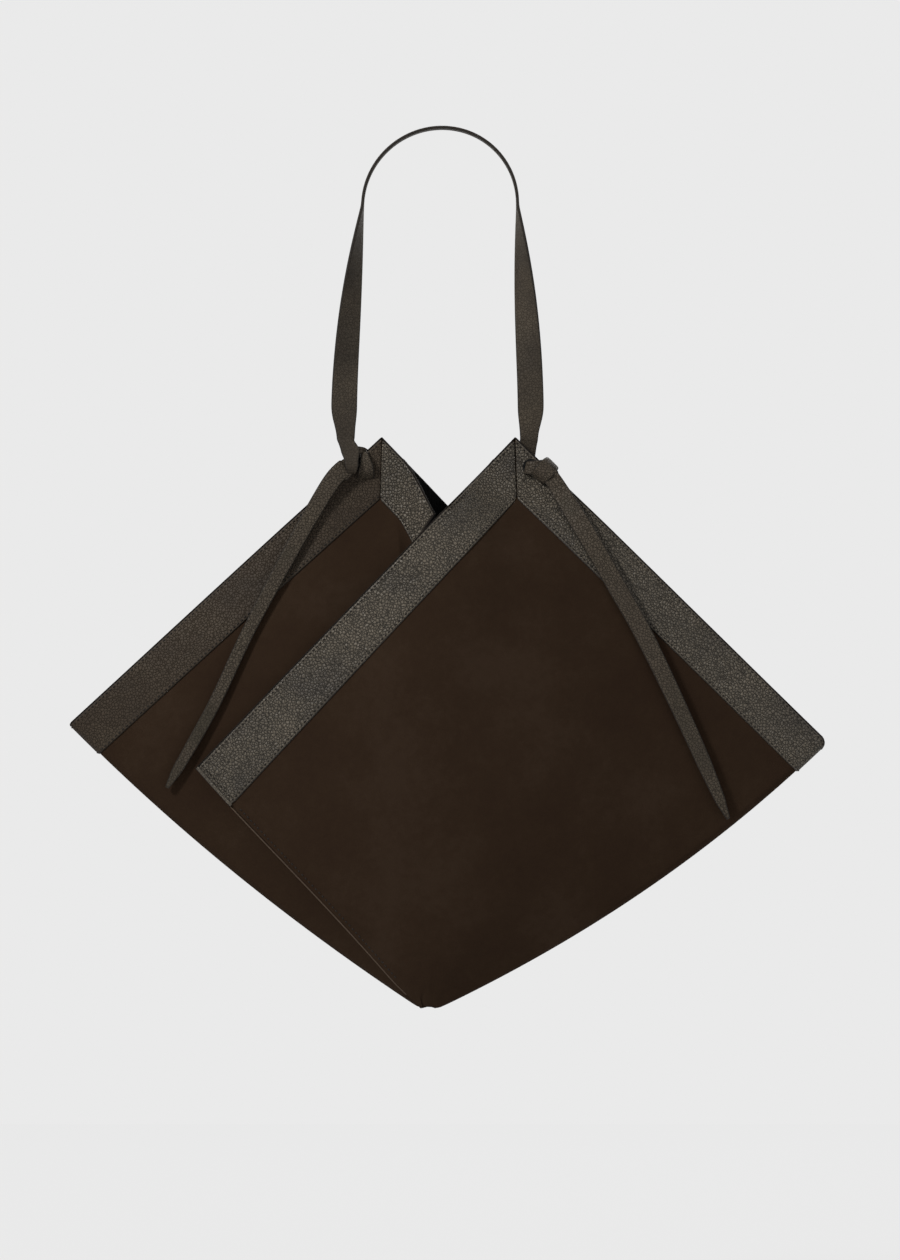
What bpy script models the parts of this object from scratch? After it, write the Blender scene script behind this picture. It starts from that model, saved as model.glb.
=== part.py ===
"""Soft square bag with a knotted strap, hanging from the crown of its handle.

The body is one square sheet of two suede halves, joined by a single seam that runs under the
bottom. Its four corners are brought up in pairs to two peaks. Each half runs from the seam's free
end up over a peak, round its side corner and back, and tucks in behind the other half's panel.
Metres, +Z up, front toward -Y. The origin is the underside of the strap at its crown.
"""

import math

import bmesh
import bpy
import numpy as np
from mathutils import Matrix, Vector

# Outline of the hanging bag, as seen from the front
AXIS_X = 0.0052
PEAK_REACH = 0.0534
PEAK_DROP = 0.2462
CORNER_REACH = 0.3028
LEFT_CORNER_DROP = 0.4752
RIGHT_CORNER_DROP = 0.4896
SEAM_REACH = 0.2012
SEAM_DROP = 0.5104
BOTTOM_X = -0.0110
BOTTOM_DROP = 0.7020
BOTTOM_HALF_WIDTH = 0.0045
LEFT_BOW = 0.009
RIGHT_BOW = 0.0155

# Depth of the body
FULL_DEPTH = 0.040
MOUTH_DEPTH = 0.028
PINCH_DEPTH = 0.003
PINCH_START = 0.040
PINCH_END = 0.104
CORNER_FOLD_RADIUS = 0.006
PANEL_RISE_RUN = 0.030

# Sheet
SUEDE = 0.0012
LINING = 0.0005
BORDER = 0.0010
BORDER_WIDTH = 0.041
MITRE_DROP = 0.0498
MITRE_LEAN = 0.0015
CORNER_BORDER = 0.034
CLEARANCE = 0.0003
TUCK_CLEARANCE = 0.0012
SLOT_CLEARANCE = 0.0014

# Tuck, the roll where each half folds back behind the other's panel
ROLL_START_REACH = 0.0372
ROLL_INNER_RUN = 0.020
ROLL_REACH = 0.0255
ROLL_REACH_BOTTOM = 0.001
ROLL_SAG = 0.006
TUCK_DEPTH = 0.012

# Strap holes
HOLE_RADIUS = 0.0055
HOLE_RUN = 0.0265
HOLE_INSET = 0.012
CUT_OVERRUN = 0.004

# Knots: the strap goes through its hole, round the edge of the peak and through itself
LOOP_BAND = 0.0038
LOOP_WIDTH = 0.0085
LOOP_OUTREACH = 0.0164
LOOP_DEPTH = 0.0076
KNOT_LENGTH = 0.021
KNOT_WIDTH = 0.018
KNOT_THICKNESS = 0.0095
KNOT_ROUNDING = 0.0035
KNOT_STANDOFF = 0.0030

# Handle
STRAP_WIDTH = 0.021
STRAP_THICKNESS = 0.003
ARCH_RADIUS = 0.062
FLARE_REACH = 0.0746
FLARE_DROP = 0.222
STRAP_END_DROP = 0.247
STRAP_END_REACH = 0.0733
STRAP_END_DEPTH = 0.007
STRAP_END_WIDTH = 0.0145
ARCH_LEAN = 0.0036

# Tails, the pointed ends of the strap below the knots
TAIL_STANDOFF = 0.0026
LEFT_TAIL_REACH = 0.2252
LEFT_TAIL_DROP = 0.524
LEFT_TAIL_BOW = 0.001
RIGHT_TAIL_REACH = 0.2228
RIGHT_TAIL_DROP = 0.5496
RIGHT_TAIL_BOW = 0.010

# Numbers of divisions and rounds
BOW_ROUNDS = 4
ARC_STEPS = 6
ROLL_STEPS = 6
BORDER_ROWS = 2
LINING_FIRST_ROW = 1
ARCH_STEPS = 17
LEG_STEPS = 9
STRAP_FACETS = 3
LOOP_STEPS = 24
LOOP_SIDES = 8
HOLE_SIDES = 24
TAIL_STEPS = 12

# Shares
MIDDLE_SHARE = 0.5
FOLD_SIDE_SHARE = 0.4
BODY_ROW_SHARES = (0, 0.07, 0.16, 0.27, 0.39, 0.52, 0.65, 0.77, 0.89, 1)
SEAM_TO_ROLL_SHARES = (0, 0.08, 0.19, 0.34, 0.52, 0.7, 0.86, 1)
ROLL_TO_PEAK_SHARES = (0, 0.16, 0.32, 0.48, 0.64, 0.8, 1)
PEAK_TO_CORNER_SHARES = (0, 0.07, 0.15, 0.28, 0.42, 0.57, 0.72, 0.84, 0.92, 0.97, 1)
CROWN_POWER = 2.4
FILL_POWER = 0.8
MOUTH_SPREAD_SHARE = 0.08
BASE_POWER = 0.3
ROLL_POWER = 2.2
ROLL_OUT_POWER = 1.5
LEAST_SLOPE_SHARE = 0.7
LIFT_TURN_SHARE = 0.6
LEVEL_BOTTOM_SHARE = 0.12
SINK_START_SHARE = 0.25
SINK_RUN_SHARE = 0.21
SINK_PEAK = 27 / 4
LEFT_BOW_SHARE = 0.25
RIGHT_BOW_SHARE = 0.35
KNOT_PLACE_SHARE = 0.8
FLARE_POWER = 1.5
LEG_TURN_POWER = 1.6
PEAK_SWELL_POWER = 4
TAIL_TOUCH_SHARE = 0.56
TAIL_RUN_SHARES = (0, 0.15, 0.5, 0.85, 0.95, 1)
LEFT_TAIL_WIDTH_SHARES = (0.72, 0.74, 0.52, 0.42, 0.36, 0.14)
RIGHT_TAIL_WIDTH_SHARES = (0.75, 0.86, 0.74, 0.6, 0.4, 0.14)

LAYER = SUEDE + CLEARANCE + LINING
TUCK_LIFT = BORDER + CLEARANCE + TUCK_CLEARANCE
PANEL_LIFT = TUCK_LIFT + 2 * LAYER + SLOT_CLEARANCE
BOTTOM_FOLD_RADIUS = LAYER + 2 * CLEARANCE
PROBE = CLEARANCE

FRONT = -1
BACK = 1


def smoothstep(value):
    """Ease from 0 to 1, held outside that range."""
    held = min(max(value, 0.0), 1.0)
    return held * held * (3 - 2 * held)


def unit(vector):
    return vector / np.linalg.norm(vector)


def cross2(a, b):
    return a[0] * b[1] - a[1] * b[0]


def crossing(a, a_end, b, b_end):
    """Where the line a to a_end meets the line b to b_end, in the front view."""
    run = a_end - a
    other = b_end - b
    return a + run * (cross2(b - a, other) / cross2(run, other))


def corner(sign):
    drop = RIGHT_CORNER_DROP if sign > 0 else LEFT_CORNER_DROP
    return np.array([AXIS_X + sign * CORNER_REACH, -drop])


def peak(sign):
    return np.array([AXIS_X + sign * PEAK_REACH, -PEAK_DROP])


def folded_corner(sign):
    """The corner drawn in by the radius of its fold."""
    return corner(sign) + unit(peak(sign) - corner(sign)) * CORNER_FOLD_RADIUS


def bottom_end(sign):
    return np.array([BOTTOM_X + sign * BOTTOM_HALF_WIDTH, -BOTTOM_DROP])


APEX = crossing(folded_corner(-1), bottom_end(-1), folded_corner(1), bottom_end(1))


def angle_of(point):
    return math.atan2(point[1] - APEX[1], point[0] - APEX[0])


LEFT_ANGLE = angle_of(folded_corner(-1))
RIGHT_ANGLE = angle_of(folded_corner(1))
LEFT_LENGTH = np.linalg.norm(folded_corner(-1) - APEX)
RIGHT_LENGTH = np.linalg.norm(folded_corner(1) - APEX)
PEAK_LENGTH = np.linalg.norm(peak(1) - APEX)


def fan(point):
    """Share across from the left corner to the right, share of the rise, and distance to the apex."""
    across = (LEFT_ANGLE - angle_of(point)) / (LEFT_ANGLE - RIGHT_ANGLE)
    held = min(max(across, 0.0), 1.0)
    mean = LEFT_LENGTH + (RIGHT_LENGTH - LEFT_LENGTH) * held
    swell = (PEAK_LENGTH - (LEFT_LENGTH + RIGHT_LENGTH) / 2) * math.sin(math.pi * held) ** PEAK_SWELL_POWER
    distance = np.linalg.norm(point - APEX)
    return across, distance / (mean + swell), distance


def fold_radius(rise):
    """Outer radius of the side folds, tight at the bottom."""
    return BOTTOM_FOLD_RADIUS + (CORNER_FOLD_RADIUS - BOTTOM_FOLD_RADIUS) * (1 - (1 - min(rise, 1)) ** 2)


def front_share(across):
    """1 where the front panel lies over the tuck, 0 at the right fold."""
    return 1 - smoothstep((across - MIDDLE_SHARE) / FOLD_SIDE_SHARE)


def back_share(across):
    return front_share(1 - across)


def bowed(point, across, rise):
    """Moves a point of the straight fan out to the full, curved lower edges."""
    swell = 4 * rise * max(1 - rise, 0)
    left = bottom_end(-1) - folded_corner(-1)
    right = folded_corner(1) - bottom_end(1)
    left_out = unit(np.array([left[1], -left[0]]))
    right_out = unit(np.array([right[1], -right[0]]))
    left_part = max(0.0, 1 - max(across, 0) / LEFT_BOW_SHARE) ** 2
    right_part = max(0.0, 1 - max(1 - across, 0) / RIGHT_BOW_SHARE) ** 2
    return point + left_out * LEFT_BOW * left_part * swell + right_out * RIGHT_BOW * right_part * swell


def flattened(seen):
    """The place of the straight fan that bowed() moves to a place seen from the front."""
    place = seen
    for _ in range(BOW_ROUNDS):
        across, rise, _ = fan(place)
        place = place + seen - bowed(place, across, rise)
    return place


def freedom(point):
    """0 where the layers are pinched together round a peak, 1 away from both peaks."""
    nearest = min(np.linalg.norm(point - peak(-1)), np.linalg.norm(point - peak(1)))
    return smoothstep((nearest - PINCH_START) / (PINCH_END - PINCH_START))


def body_depth(point, fold_cosine=1.0, fold_inset_share=1.0):
    """Half depth of the body at a place of the front view."""
    across, rise, distance = fan(point)
    radius = fold_radius(rise)
    span = distance * (LEFT_ANGLE - RIGHT_ANGLE) + 2 * radius
    inner = distance * (LEFT_ANGLE - RIGHT_ANGLE) * min(max(across, 0), 1)
    left_gap = radius * fold_inset_share + inner
    if across > 0.5:
        left_gap = span - radius * fold_inset_share - (span - 2 * radius - inner)
    share = left_gap / span
    crown = 1 - abs(2 * share - 1) ** CROWN_POWER
    fill = max(4 * rise * (1 - rise), 0.0) ** FILL_POWER
    mouth = math.exp(-(((across - 0.5) / MOUTH_SPREAD_SHARE) ** 2)) * rise**4
    depth = radius * fold_cosine + crown * (FULL_DEPTH * fill + MOUTH_DEPTH * mouth)
    return PINCH_DEPTH + (depth - PINCH_DEPTH) * freedom(point)


def middle_shift(across, rise):
    """The middle of the stack lies behind on the left and in front on the right, most at the bottom."""
    return PANEL_LIFT / 2 * (front_share(across) - back_share(across)) * max(1 - rise, 0) ** 2


def skin(point, side, depth=None, outward=None):
    """The tucked layer's outer face at a place of the front view, as a point in space."""
    across, rise, _ = fan(point)
    half = body_depth(point) if depth is None else depth
    seen = bowed(point, across, rise)
    if outward is not None:
        seen = seen + outward
    return np.array([seen[0], side * half + middle_shift(across, rise), seen[1]])


def skin_normal(point, side):
    """Outward direction of the skin."""
    step_x = skin(point + (PROBE, 0), side) - skin(point - (PROBE, 0), side)
    step_z = skin(point + (0, PROBE), side) - skin(point - (0, PROBE), side)
    normal = unit(np.cross(step_x, step_z))
    return normal * (1 if normal[1] * side > 0 else -1)


def lifted(point, side, lift):
    """A place off the skin by a lift.

    Above the narrow bottom it moves in depth alone, so that its outline stays as seen.
    """
    normal = skin_normal(point, side)
    slope = max(abs(normal[1]), LEAST_SLOPE_SHARE)
    in_depth = smoothstep(fan(point)[1] / LIFT_TURN_SHARE)
    away = normal * (1 - in_depth) + np.array([0, side / slope, 0]) * in_depth
    away[2] *= smoothstep(fan(point)[1] / LEVEL_BOTTOM_SHARE)
    return skin(point, side) + away * lift


def seam_to_peak_shares():
    """Columns of a panel between its seam end and its peak, one of them over the tuck's roll."""
    roll_share = 1 - (PEAK_REACH + ROLL_START_REACH) / (PEAK_REACH + SEAM_REACH)
    to_roll = [roll_share * share for share in SEAM_TO_ROLL_SHARES]
    return to_roll, [roll_share + (1 - roll_share) * share for share in ROLL_TO_PEAK_SHARES[1:]]


def panel_lift(point, sign):
    """How far the outer panel of a half stands off the other half's tuck beneath it."""
    across, _, _ = fan(point)
    share = front_share(across) if sign > 0 else back_share(across)
    near = np.linalg.norm(point - peak(sign))
    return PANEL_LIFT * share * smoothstep((near - PINCH_START) / PANEL_RISE_RUN)


def hole(sign):
    """Centre of the strap's hole in a peak, in the front view."""
    run = unit(corner(sign) - peak(sign))
    return peak(sign) + run * HOLE_RUN - edge_outward(sign) * HOLE_INSET


def edge_outward(sign):
    """Direction away from the body, square to the edge between a peak and its corner."""
    run = unit(corner(sign) - peak(sign))
    return np.array([-run[1], run[0]]) * sign


def in_space(place, depth):
    """A place of the front view at a depth, as a point in space."""
    return np.array([place[0], depth, place[1]])


def strap_end(sign):
    """Where the strap bends over its knot: a point on the handle's swing axis."""
    return np.array([sign * STRAP_END_REACH - ARCH_LEAN, sign * STRAP_END_DEPTH, -STRAP_END_DROP])


def swing_axis():
    return unit(strap_end(1) - strap_end(-1))


def arch_centre_height():
    """Height of the arch's centre, which puts the flat underside of the crown at the origin."""
    step = math.pi / ARCH_STEPS
    return -(ARCH_RADIUS - STRAP_THICKNESS / 2) * math.cos(step / 2)


def lean(drop):
    """How far the handle leans toward the left at a drop below the crown."""
    return ARCH_LEAN * (1 - (1 - min(max(drop / STRAP_END_DROP, 0), 1)) ** 2)


def leg_station(sign, drop):
    """Centre, width direction and half width of the strap on one leg, at a drop below the crown."""
    top = -arch_centre_height()
    flare = (min(drop, FLARE_DROP) - top) / (FLARE_DROP - top)
    reach = ARCH_RADIUS + (FLARE_REACH - ARCH_RADIUS) * (1 - (1 - flare) ** FLARE_POWER)
    gather = smoothstep((drop - FLARE_DROP) / (STRAP_END_DROP - FLARE_DROP))
    reach += (STRAP_END_REACH - FLARE_REACH) * gather
    down = (drop - top) / (STRAP_END_DROP - top)
    end_turn = math.pi / 2 + sign * math.asin(swing_axis()[1])
    turn = end_turn * (1 - (1 - down) ** LEG_TURN_POWER)
    centre = np.array([sign * reach - lean(drop), sign * STRAP_END_DEPTH * smoothstep(down), -drop])
    width = np.array([-sign * math.sin(turn), math.cos(turn), 0])
    return centre, width, (STRAP_WIDTH + (STRAP_END_WIDTH - STRAP_WIDTH) * gather) / 2


def strap_stations():
    """Stations along the handle from its left end over the crown to its right end."""
    top = -arch_centre_height()
    drops = [STRAP_END_DROP + (top - STRAP_END_DROP) * k / LEG_STEPS for k in range(LEG_STEPS)]
    stations = [leg_station(-1, drop) for drop in drops]
    for k in range(ARCH_STEPS + 1):
        turn = math.pi * (1 - k / ARCH_STEPS)
        centre = np.array([math.cos(turn), 0, math.sin(turn)]) * ARCH_RADIUS
        centre[2] += arch_centre_height()
        centre[0] -= lean(-centre[2])
        stations.append((centre, np.array([0, 1, 0]), STRAP_WIDTH / 2))
    stations.extend(leg_station(1, drop) for drop in reversed(drops))
    return stations


def band_grid(stations, facets):
    """Points and normals of a flat band through its stations."""
    centres = np.array([centre for centre, _, _ in stations])
    along = np.gradient(centres, axis=0)
    points = []
    normals = []
    for (centre, width, half_width), run in zip(stations, along):
        run = unit(run)
        across = unit(width - run * np.dot(width, run))
        normal = unit(np.cross(run, across))
        points.append([centre + across * half_width * (2 * k / facets - 1) for k in range(facets + 1)])
        normals.append([normal] * (facets + 1))
    return np.array(points), np.array(normals)


def rounded_end(points, normals, end, beside):
    """Adds a thinner station past an end of a band, so that it turns about that end."""
    run = points[end] - points[beside]
    run /= np.linalg.norm(run, axis=1, keepdims=True)
    tip = points[end] + run * STRAP_THICKNESS / 2 * math.cos(math.pi / 6)
    thin = normals[end] / 2
    if end == 0:
        return np.concatenate([[tip], points]), np.concatenate([[thin], normals])
    return np.concatenate([points, [tip]]), np.concatenate([normals, [thin]])


class Half:
    """The outer faces of one half of the sheet, as a grid of columns from the bottom to the rim.

    sign is 1 for the half whose panel is in front and whose fold is at the right corner, and -1
    for the other half, which is the same turned half round.
    """

    def __init__(self, sign):
        self.sign = sign
        self.peak = peak(sign)
        self.corner = folded_corner(sign)
        self.seam_end = flattened(np.array([AXIS_X - sign * SEAM_REACH, -SEAM_DROP]))
        self.panel_side = FRONT * sign
        self.tuck_side = BACK * sign
        self.mitre = self.peak + np.array([sign * MITRE_LEAN, -MITRE_DROP])
        seam_base = self.base(self.seam_end)
        self.seam_inner = self.seam_end + unit(seam_base - self.seam_end) * BORDER_WIDTH
        self.corner_inner = self.corner + unit(bottom_end(sign) - self.corner) * CORNER_BORDER
        self.other_seam_end = flattened(np.array([AXIS_X + sign * SEAM_REACH, -SEAM_DROP]))
        other_base = self.base(self.other_seam_end)
        self.other_seam_inner = (
            self.other_seam_end + unit(other_base - self.other_seam_end) * BORDER_WIDTH
        )
        self.columns, self.marks = self.lay_columns()
        self.normals = self.outward_normals()

    def base(self, rim_point):
        """Where the column that ends at this place of the rim starts at the bottom."""
        across = fan(rim_point)[0]
        offset = 2 * min(max(across, 0), 1) - 1
        reach = BOTTOM_HALF_WIDTH * abs(offset) ** BASE_POWER
        return np.array([BOTTOM_X + math.copysign(reach, offset), -BOTTOM_DROP])

    def rows(self, inner, rim, base=None):
        """The places of one column: from the bottom to the border, then across the border."""
        start = self.base(rim) if base is None else base
        body = [start + (inner - start) * share for share in BODY_ROW_SHARES]
        border = [inner + (rim - inner) * (k + 1) / BORDER_ROWS for k in range(BORDER_ROWS)]
        return body + border

    def panel_column(self, inner, rim):
        return [
            lifted(place, self.panel_side, panel_lift(place, self.sign))
            for place in self.rows(inner, rim)
        ]

    def fold_columns(self):
        """The fold at the side corner, from the panel round to the tucked part."""
        places = self.rows(self.corner_inner, self.corner, bottom_end(self.sign))
        out_at_top = unit(corner(self.sign) - self.peak)
        out_at_bottom = np.array([self.sign, 0])
        columns = []
        for step in range(1, ARC_STEPS):
            turn = math.pi * step / ARC_STEPS
            column = []
            for place in places:
                _, rise, _ = fan(place)
                radius = fold_radius(rise)
                out = unit(out_at_bottom * max(1 - rise, 0) + out_at_top * rise)
                sine = math.sin(turn)
                half = body_depth(place, abs(math.cos(turn)), 1 - sine)
                side = self.panel_side if turn < math.pi / 2 else self.tuck_side
                column.append(skin(place, side, half, out * radius * sine))
            columns.append(column)
        return columns

    def tuck_column(self, inner, rim):
        """A column of the tucked part, which sinks toward the roll."""
        column = []
        places = self.rows(inner, rim)
        for row, place in enumerate(places):
            column.append(lifted(place, self.tuck_side, -self.tuck_sink(place, row / (len(places) - 1))))
        return column

    def tuck_sink(self, place, climb):
        across, _, _ = fan(place)
        from_fold = 1 - across if self.sign > 0 else across
        near_roll = smoothstep((from_fold - SINK_START_SHARE) / SINK_RUN_SHARE)
        return TUCK_DEPTH * SINK_PEAK * climb**2 * (1 - climb) * near_roll * freedom(place)

    def return_column(self, inner, rim, base=None):
        """A column of the part that lies behind the other half's panel, its suede facing inward."""
        return [lifted(place, self.tuck_side, TUCK_LIFT) for place in self.rows(inner, rim, base)]

    def roll_columns(self, tucked, returned):
        """The roll that joins the tucked part to the part that returns behind the other panel."""
        count = len(tucked)
        columns = []
        for step in range(1, ROLL_STEPS):
            turn = math.pi * step / ROLL_STEPS
            column = []
            for row in range(count):
                climb = row / (count - 1)
                middle = (tucked[row] + returned[row]) / 2
                half = (tucked[row] - returned[row]) / 2
                reach = ROLL_REACH_BOTTOM + (ROLL_REACH - ROLL_REACH_BOTTOM) * climb**3
                out = np.array([-self.sign * reach, 0, -ROLL_SAG * climb**3])
                cosine = math.cos(turn)
                toward = math.copysign(abs(cosine) ** ROLL_POWER, cosine)
                column.append(middle + half * toward + out * math.sin(turn) ** ROLL_OUT_POWER)
            columns.append(column)
        return columns

    def lay_columns(self):
        columns = []
        marks = {"seam": 0}
        to_roll, to_peak = seam_to_peak_shares()
        for share in to_roll + to_peak:
            inner = self.seam_inner + (self.mitre - self.seam_inner) * share
            rim = self.seam_end + (self.peak - self.seam_end) * share
            columns.append(self.panel_column(inner, rim))
        marks["peak"] = len(columns) - 1
        for share in PEAK_TO_CORNER_SHARES[1:]:
            inner = self.mitre + (self.corner_inner - self.mitre) * share
            rim = self.peak + (self.corner - self.peak) * share
            columns.append(self.panel_column(inner, rim))
        columns.extend(self.fold_columns())
        for share in reversed(PEAK_TO_CORNER_SHARES):
            inner = self.mitre + (self.corner_inner - self.mitre) * share
            rim = self.peak + (self.corner - self.peak) * share
            columns.append(self.tuck_column(inner, rim))
        marks["tuck_peak"] = len(columns) - 1

        other_peak = peak(-self.sign)
        rim_run = self.other_seam_end - other_peak
        roll_x = AXIS_X + self.sign * ROLL_START_REACH
        opposite = np.array([AXIS_X - self.sign * SEAM_REACH, -SEAM_DROP])
        own_run = unit(opposite - self.peak)
        roll_rim = self.peak + own_run * ((roll_x - self.peak[0]) / own_run[0])
        roll_inner = self.mitre + own_run * ROLL_INNER_RUN
        tucked = self.tuck_column(roll_inner, roll_rim)
        columns.append(tucked)

        other_mitre = other_peak + np.array([-self.sign * MITRE_LEAN, -MITRE_DROP])
        inner_run = self.other_seam_inner - other_mitre
        returned = []
        for share in reversed(to_roll):
            rim = other_peak + rim_run * (1 - share)
            inner = other_mitre + inner_run * (1 - share)
            returned.append(self.return_column(inner, rim))
        columns.extend(self.roll_columns(tucked, returned[0]))
        columns.extend(returned)
        marks["end"] = len(columns) - 1
        return np.array(columns), marks

    def outward_normals(self):
        """Direction away from the lining at each point of the grid."""
        along = np.gradient(self.columns, axis=0)
        up = np.gradient(self.columns, axis=1)
        normals = np.cross(along, up)
        normals /= np.linalg.norm(normals, axis=2, keepdims=True)
        return normals * self.facing(normals)

    def facing(self, normals):
        middle = len(self.columns[0]) // 2
        return 1 if normals[self.marks["peak"], middle, 1] * self.panel_side > 0 else -1


def material(name, colour, roughness):
    made = bpy.data.materials.new(name)
    made.use_nodes = True
    shader = made.node_tree.nodes["Principled BSDF"]
    shader.inputs["Base Color"].default_value = (*colour, 1)
    shader.inputs["Roughness"].default_value = roughness
    shader.inputs["Metallic"].default_value = 0
    return made


def finish(name, bm, finish_material, smooth_angle=math.radians(40)):
    """Turns a bmesh into a named object with outward faces and smooth shading."""
    bmesh.ops.recalc_face_normals(bm, faces=bm.faces[:])
    if bm.calc_volume(signed=True) < 0:
        bmesh.ops.reverse_faces(bm, faces=bm.faces[:])
    mesh = bpy.data.meshes.new(name)
    bm.to_mesh(mesh)
    bm.free()
    mesh.shade_smooth()
    mesh.set_sharp_from_angle(angle=smooth_angle)
    if finish_material:
        mesh.materials.append(finish_material)
    made = bpy.data.objects.new(name, mesh)
    bpy.context.collection.objects.link(made)
    return made


def sheet_solid(name, points, outward, outer, inner, finish_material):
    """A closed sheet between two offsets of a grid of points.

    outer and inner are distances along the outward normals, outer the larger.
    """
    columns, rows = points.shape[:2]
    bm = bmesh.new()
    bmesh.ops.create_grid(bm, x_segments=columns - 1, y_segments=rows - 1, size=1)
    bmesh.ops.triangulate(bm, faces=bm.faces[:], quad_method="FIXED")
    raised = bmesh.ops.extrude_face_region(bm, geom=bm.faces[:], use_keep_orig=True)
    upper = {item for item in raised["geom"] if isinstance(item, bmesh.types.BMVert)}
    for vert in bm.verts:
        column = round((vert.co.x + 1) / 2 * (columns - 1))
        row = round((vert.co.y + 1) / 2 * (rows - 1))
        offset = outer if vert in upper else inner
        vert.co = Vector(points[column, row] + outward[column, row] * offset)
    return finish(name, bm, finish_material)


def drawn_in(points, start, stop):
    """Columns start to stop of a grid, each end drawn in by a clearance."""
    part = points[start : stop + 1].copy()
    for end, beside in ((0, 1), (-1, -2)):
        step = part[beside] - part[end]
        part[end] += step / np.linalg.norm(step, axis=1, keepdims=True) * CLEARANCE
    return part


def border_solid(name, half, start, stop, finish_material):
    """A leather strip on the suede along the rim, between two columns of the half."""
    first_row = len(BODY_ROW_SHARES) - 1
    points = drawn_in(half.columns, start, stop)[:, first_row:]
    normals = half.normals[start : stop + 1, first_row:]
    return sheet_solid(name, points, normals, CLEARANCE + BORDER, CLEARANCE, finish_material)


def handle_strap(finish_material):
    points, normals = band_grid(strap_stations(), STRAP_FACETS)
    points, normals = rounded_end(points, normals, 0, 1)
    points, normals = rounded_end(points, normals, -1, -2)
    half = STRAP_THICKNESS / 2
    return sheet_solid("handle_strap", points, normals, half, -half, finish_material)


def hole_cutter(sign):
    """A round punch through both layers of a peak."""
    bm = bmesh.new()
    bmesh.ops.create_cone(
        bm,
        cap_ends=True,
        segments=HOLE_SIDES,
        radius1=HOLE_RADIUS,
        radius2=HOLE_RADIUS,
        depth=2 * (PINCH_DEPTH + BORDER + CUT_OVERRUN),
    )
    bmesh.ops.rotate(bm, verts=bm.verts, matrix=Matrix.Rotation(math.pi / 2, 3, "X"))
    bmesh.ops.translate(bm, verts=bm.verts, vec=Vector(in_space(hole(sign), 0)))
    cutter = finish(f"hole_cutter_{sign}", bm, None)
    cutter.hide_render = True
    cutter.display_type = "WIRE"
    return cutter


def combine(target, tool, operation):
    modifier = target.modifiers.new(operation.lower(), "BOOLEAN")
    modifier.operation = operation
    modifier.solver = "EXACT"
    modifier.object = tool
    tool.hide_render = True
    tool.display_type = "WIRE"


def loop_solid(name, sign, finish_material):
    """The closed loop of strap through the hole and round the edge of the peak."""
    outward = in_space(edge_outward(sign), 0)
    run = unit(in_space(corner(sign) - peak(sign), 0))
    centre = in_space(hole(sign), 0) + outward * LOOP_OUTREACH / 2
    bm = bmesh.new()
    bmesh.ops.create_grid(bm, x_segments=LOOP_STEPS, y_segments=LOOP_SIDES, size=1)
    for vert in bm.verts:
        turn = math.pi * (vert.co.x + 1)
        roll = math.pi * (vert.co.y + 1)
        cosine, sine = math.cos(turn), math.sin(turn)
        flat_cosine = math.copysign(math.sqrt(abs(cosine)), cosine)
        flat_sine = math.copysign(math.sqrt(abs(sine)), sine)
        path = outward * flat_cosine * LOOP_OUTREACH / 2 + np.array([0, flat_sine * LOOP_DEPTH, 0])
        radial = outward * cosine + np.array([0, sine, 0])
        spread = radial * math.cos(roll) * LOOP_BAND / 2 + run * math.sin(roll) * LOOP_WIDTH / 2
        vert.co = Vector(centre + path + spread)
    bmesh.ops.remove_doubles(bm, verts=bm.verts, dist=CLEARANCE / 10)
    return finish(name, bm, finish_material)


def knot_centre(sign):
    """Middle of the knot, in front of the edge of the peak."""
    place = hole(sign) + edge_outward(sign) * LOOP_OUTREACH * KNOT_PLACE_SHARE
    depth = PINCH_DEPTH + BORDER + KNOT_STANDOFF + KNOT_THICKNESS / 2
    return in_space(place, -depth)


def knot_body(name, sign, finish_material):
    """The rounded lump of the knot, its length down the tail."""
    bm = bmesh.new()
    bmesh.ops.create_cube(bm, size=1)
    bmesh.ops.scale(bm, verts=bm.verts, vec=(KNOT_WIDTH, KNOT_THICKNESS, KNOT_LENGTH))
    bmesh.ops.bevel(
        bm,
        geom=bm.edges[:],
        offset=KNOT_ROUNDING,
        segments=2,
        profile=0.5,
        affect="EDGES",
        material=-1,
    )
    down = tail_direction(sign)
    turn = math.atan2(-down[0], -down[1])
    bmesh.ops.rotate(bm, verts=bm.verts, matrix=Matrix.Rotation(turn, 3, "Y"))
    bmesh.ops.translate(bm, verts=bm.verts, vec=Vector(knot_centre(sign)))
    return finish(name, bm, finish_material)


def neck_solid(name, sign, finish_material):
    """The gathered strap between the bend under the handle and the knot."""
    top = strap_end(sign) - np.array([0, 0, STRAP_THICKNESS / 2 + CLEARANCE])
    centre = in_space(hole(sign), 0) + in_space(edge_outward(sign), 0) * LOOP_OUTREACH / 2
    bottom = centre + np.array([0, LOOP_DEPTH, 0]) if sign > 0 else knot_centre(sign)
    below = top - np.array([0, 0, STRAP_THICKNESS])
    centres = (top, below, (below + bottom) / 2, bottom)
    stations = [(place, swing_axis(), STRAP_END_WIDTH / 2) for place in centres]
    points, normals = band_grid(stations, STRAP_FACETS)
    half = STRAP_THICKNESS / 2
    return sheet_solid(name, points, normals, half, -half, finish_material)


def knot(label, sign, finish_material):
    made = loop_solid(f"{label}_knot", sign, finish_material)
    combine(made, knot_body(f"{label}_knot_body", sign, finish_material), "UNION")
    combine(made, neck_solid(f"{label}_knot_neck", sign, finish_material), "UNION")
    return made


def tail_end(sign):
    reach = RIGHT_TAIL_REACH if sign > 0 else LEFT_TAIL_REACH
    drop = RIGHT_TAIL_DROP if sign > 0 else LEFT_TAIL_DROP
    return np.array([AXIS_X + sign * reach, -drop])


def tail_direction(sign):
    """Direction of a tail in the front view, from its knot to its tip."""
    centre = knot_centre(sign)
    return unit(tail_end(sign) - np.array([centre[0], centre[2]]))


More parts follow.
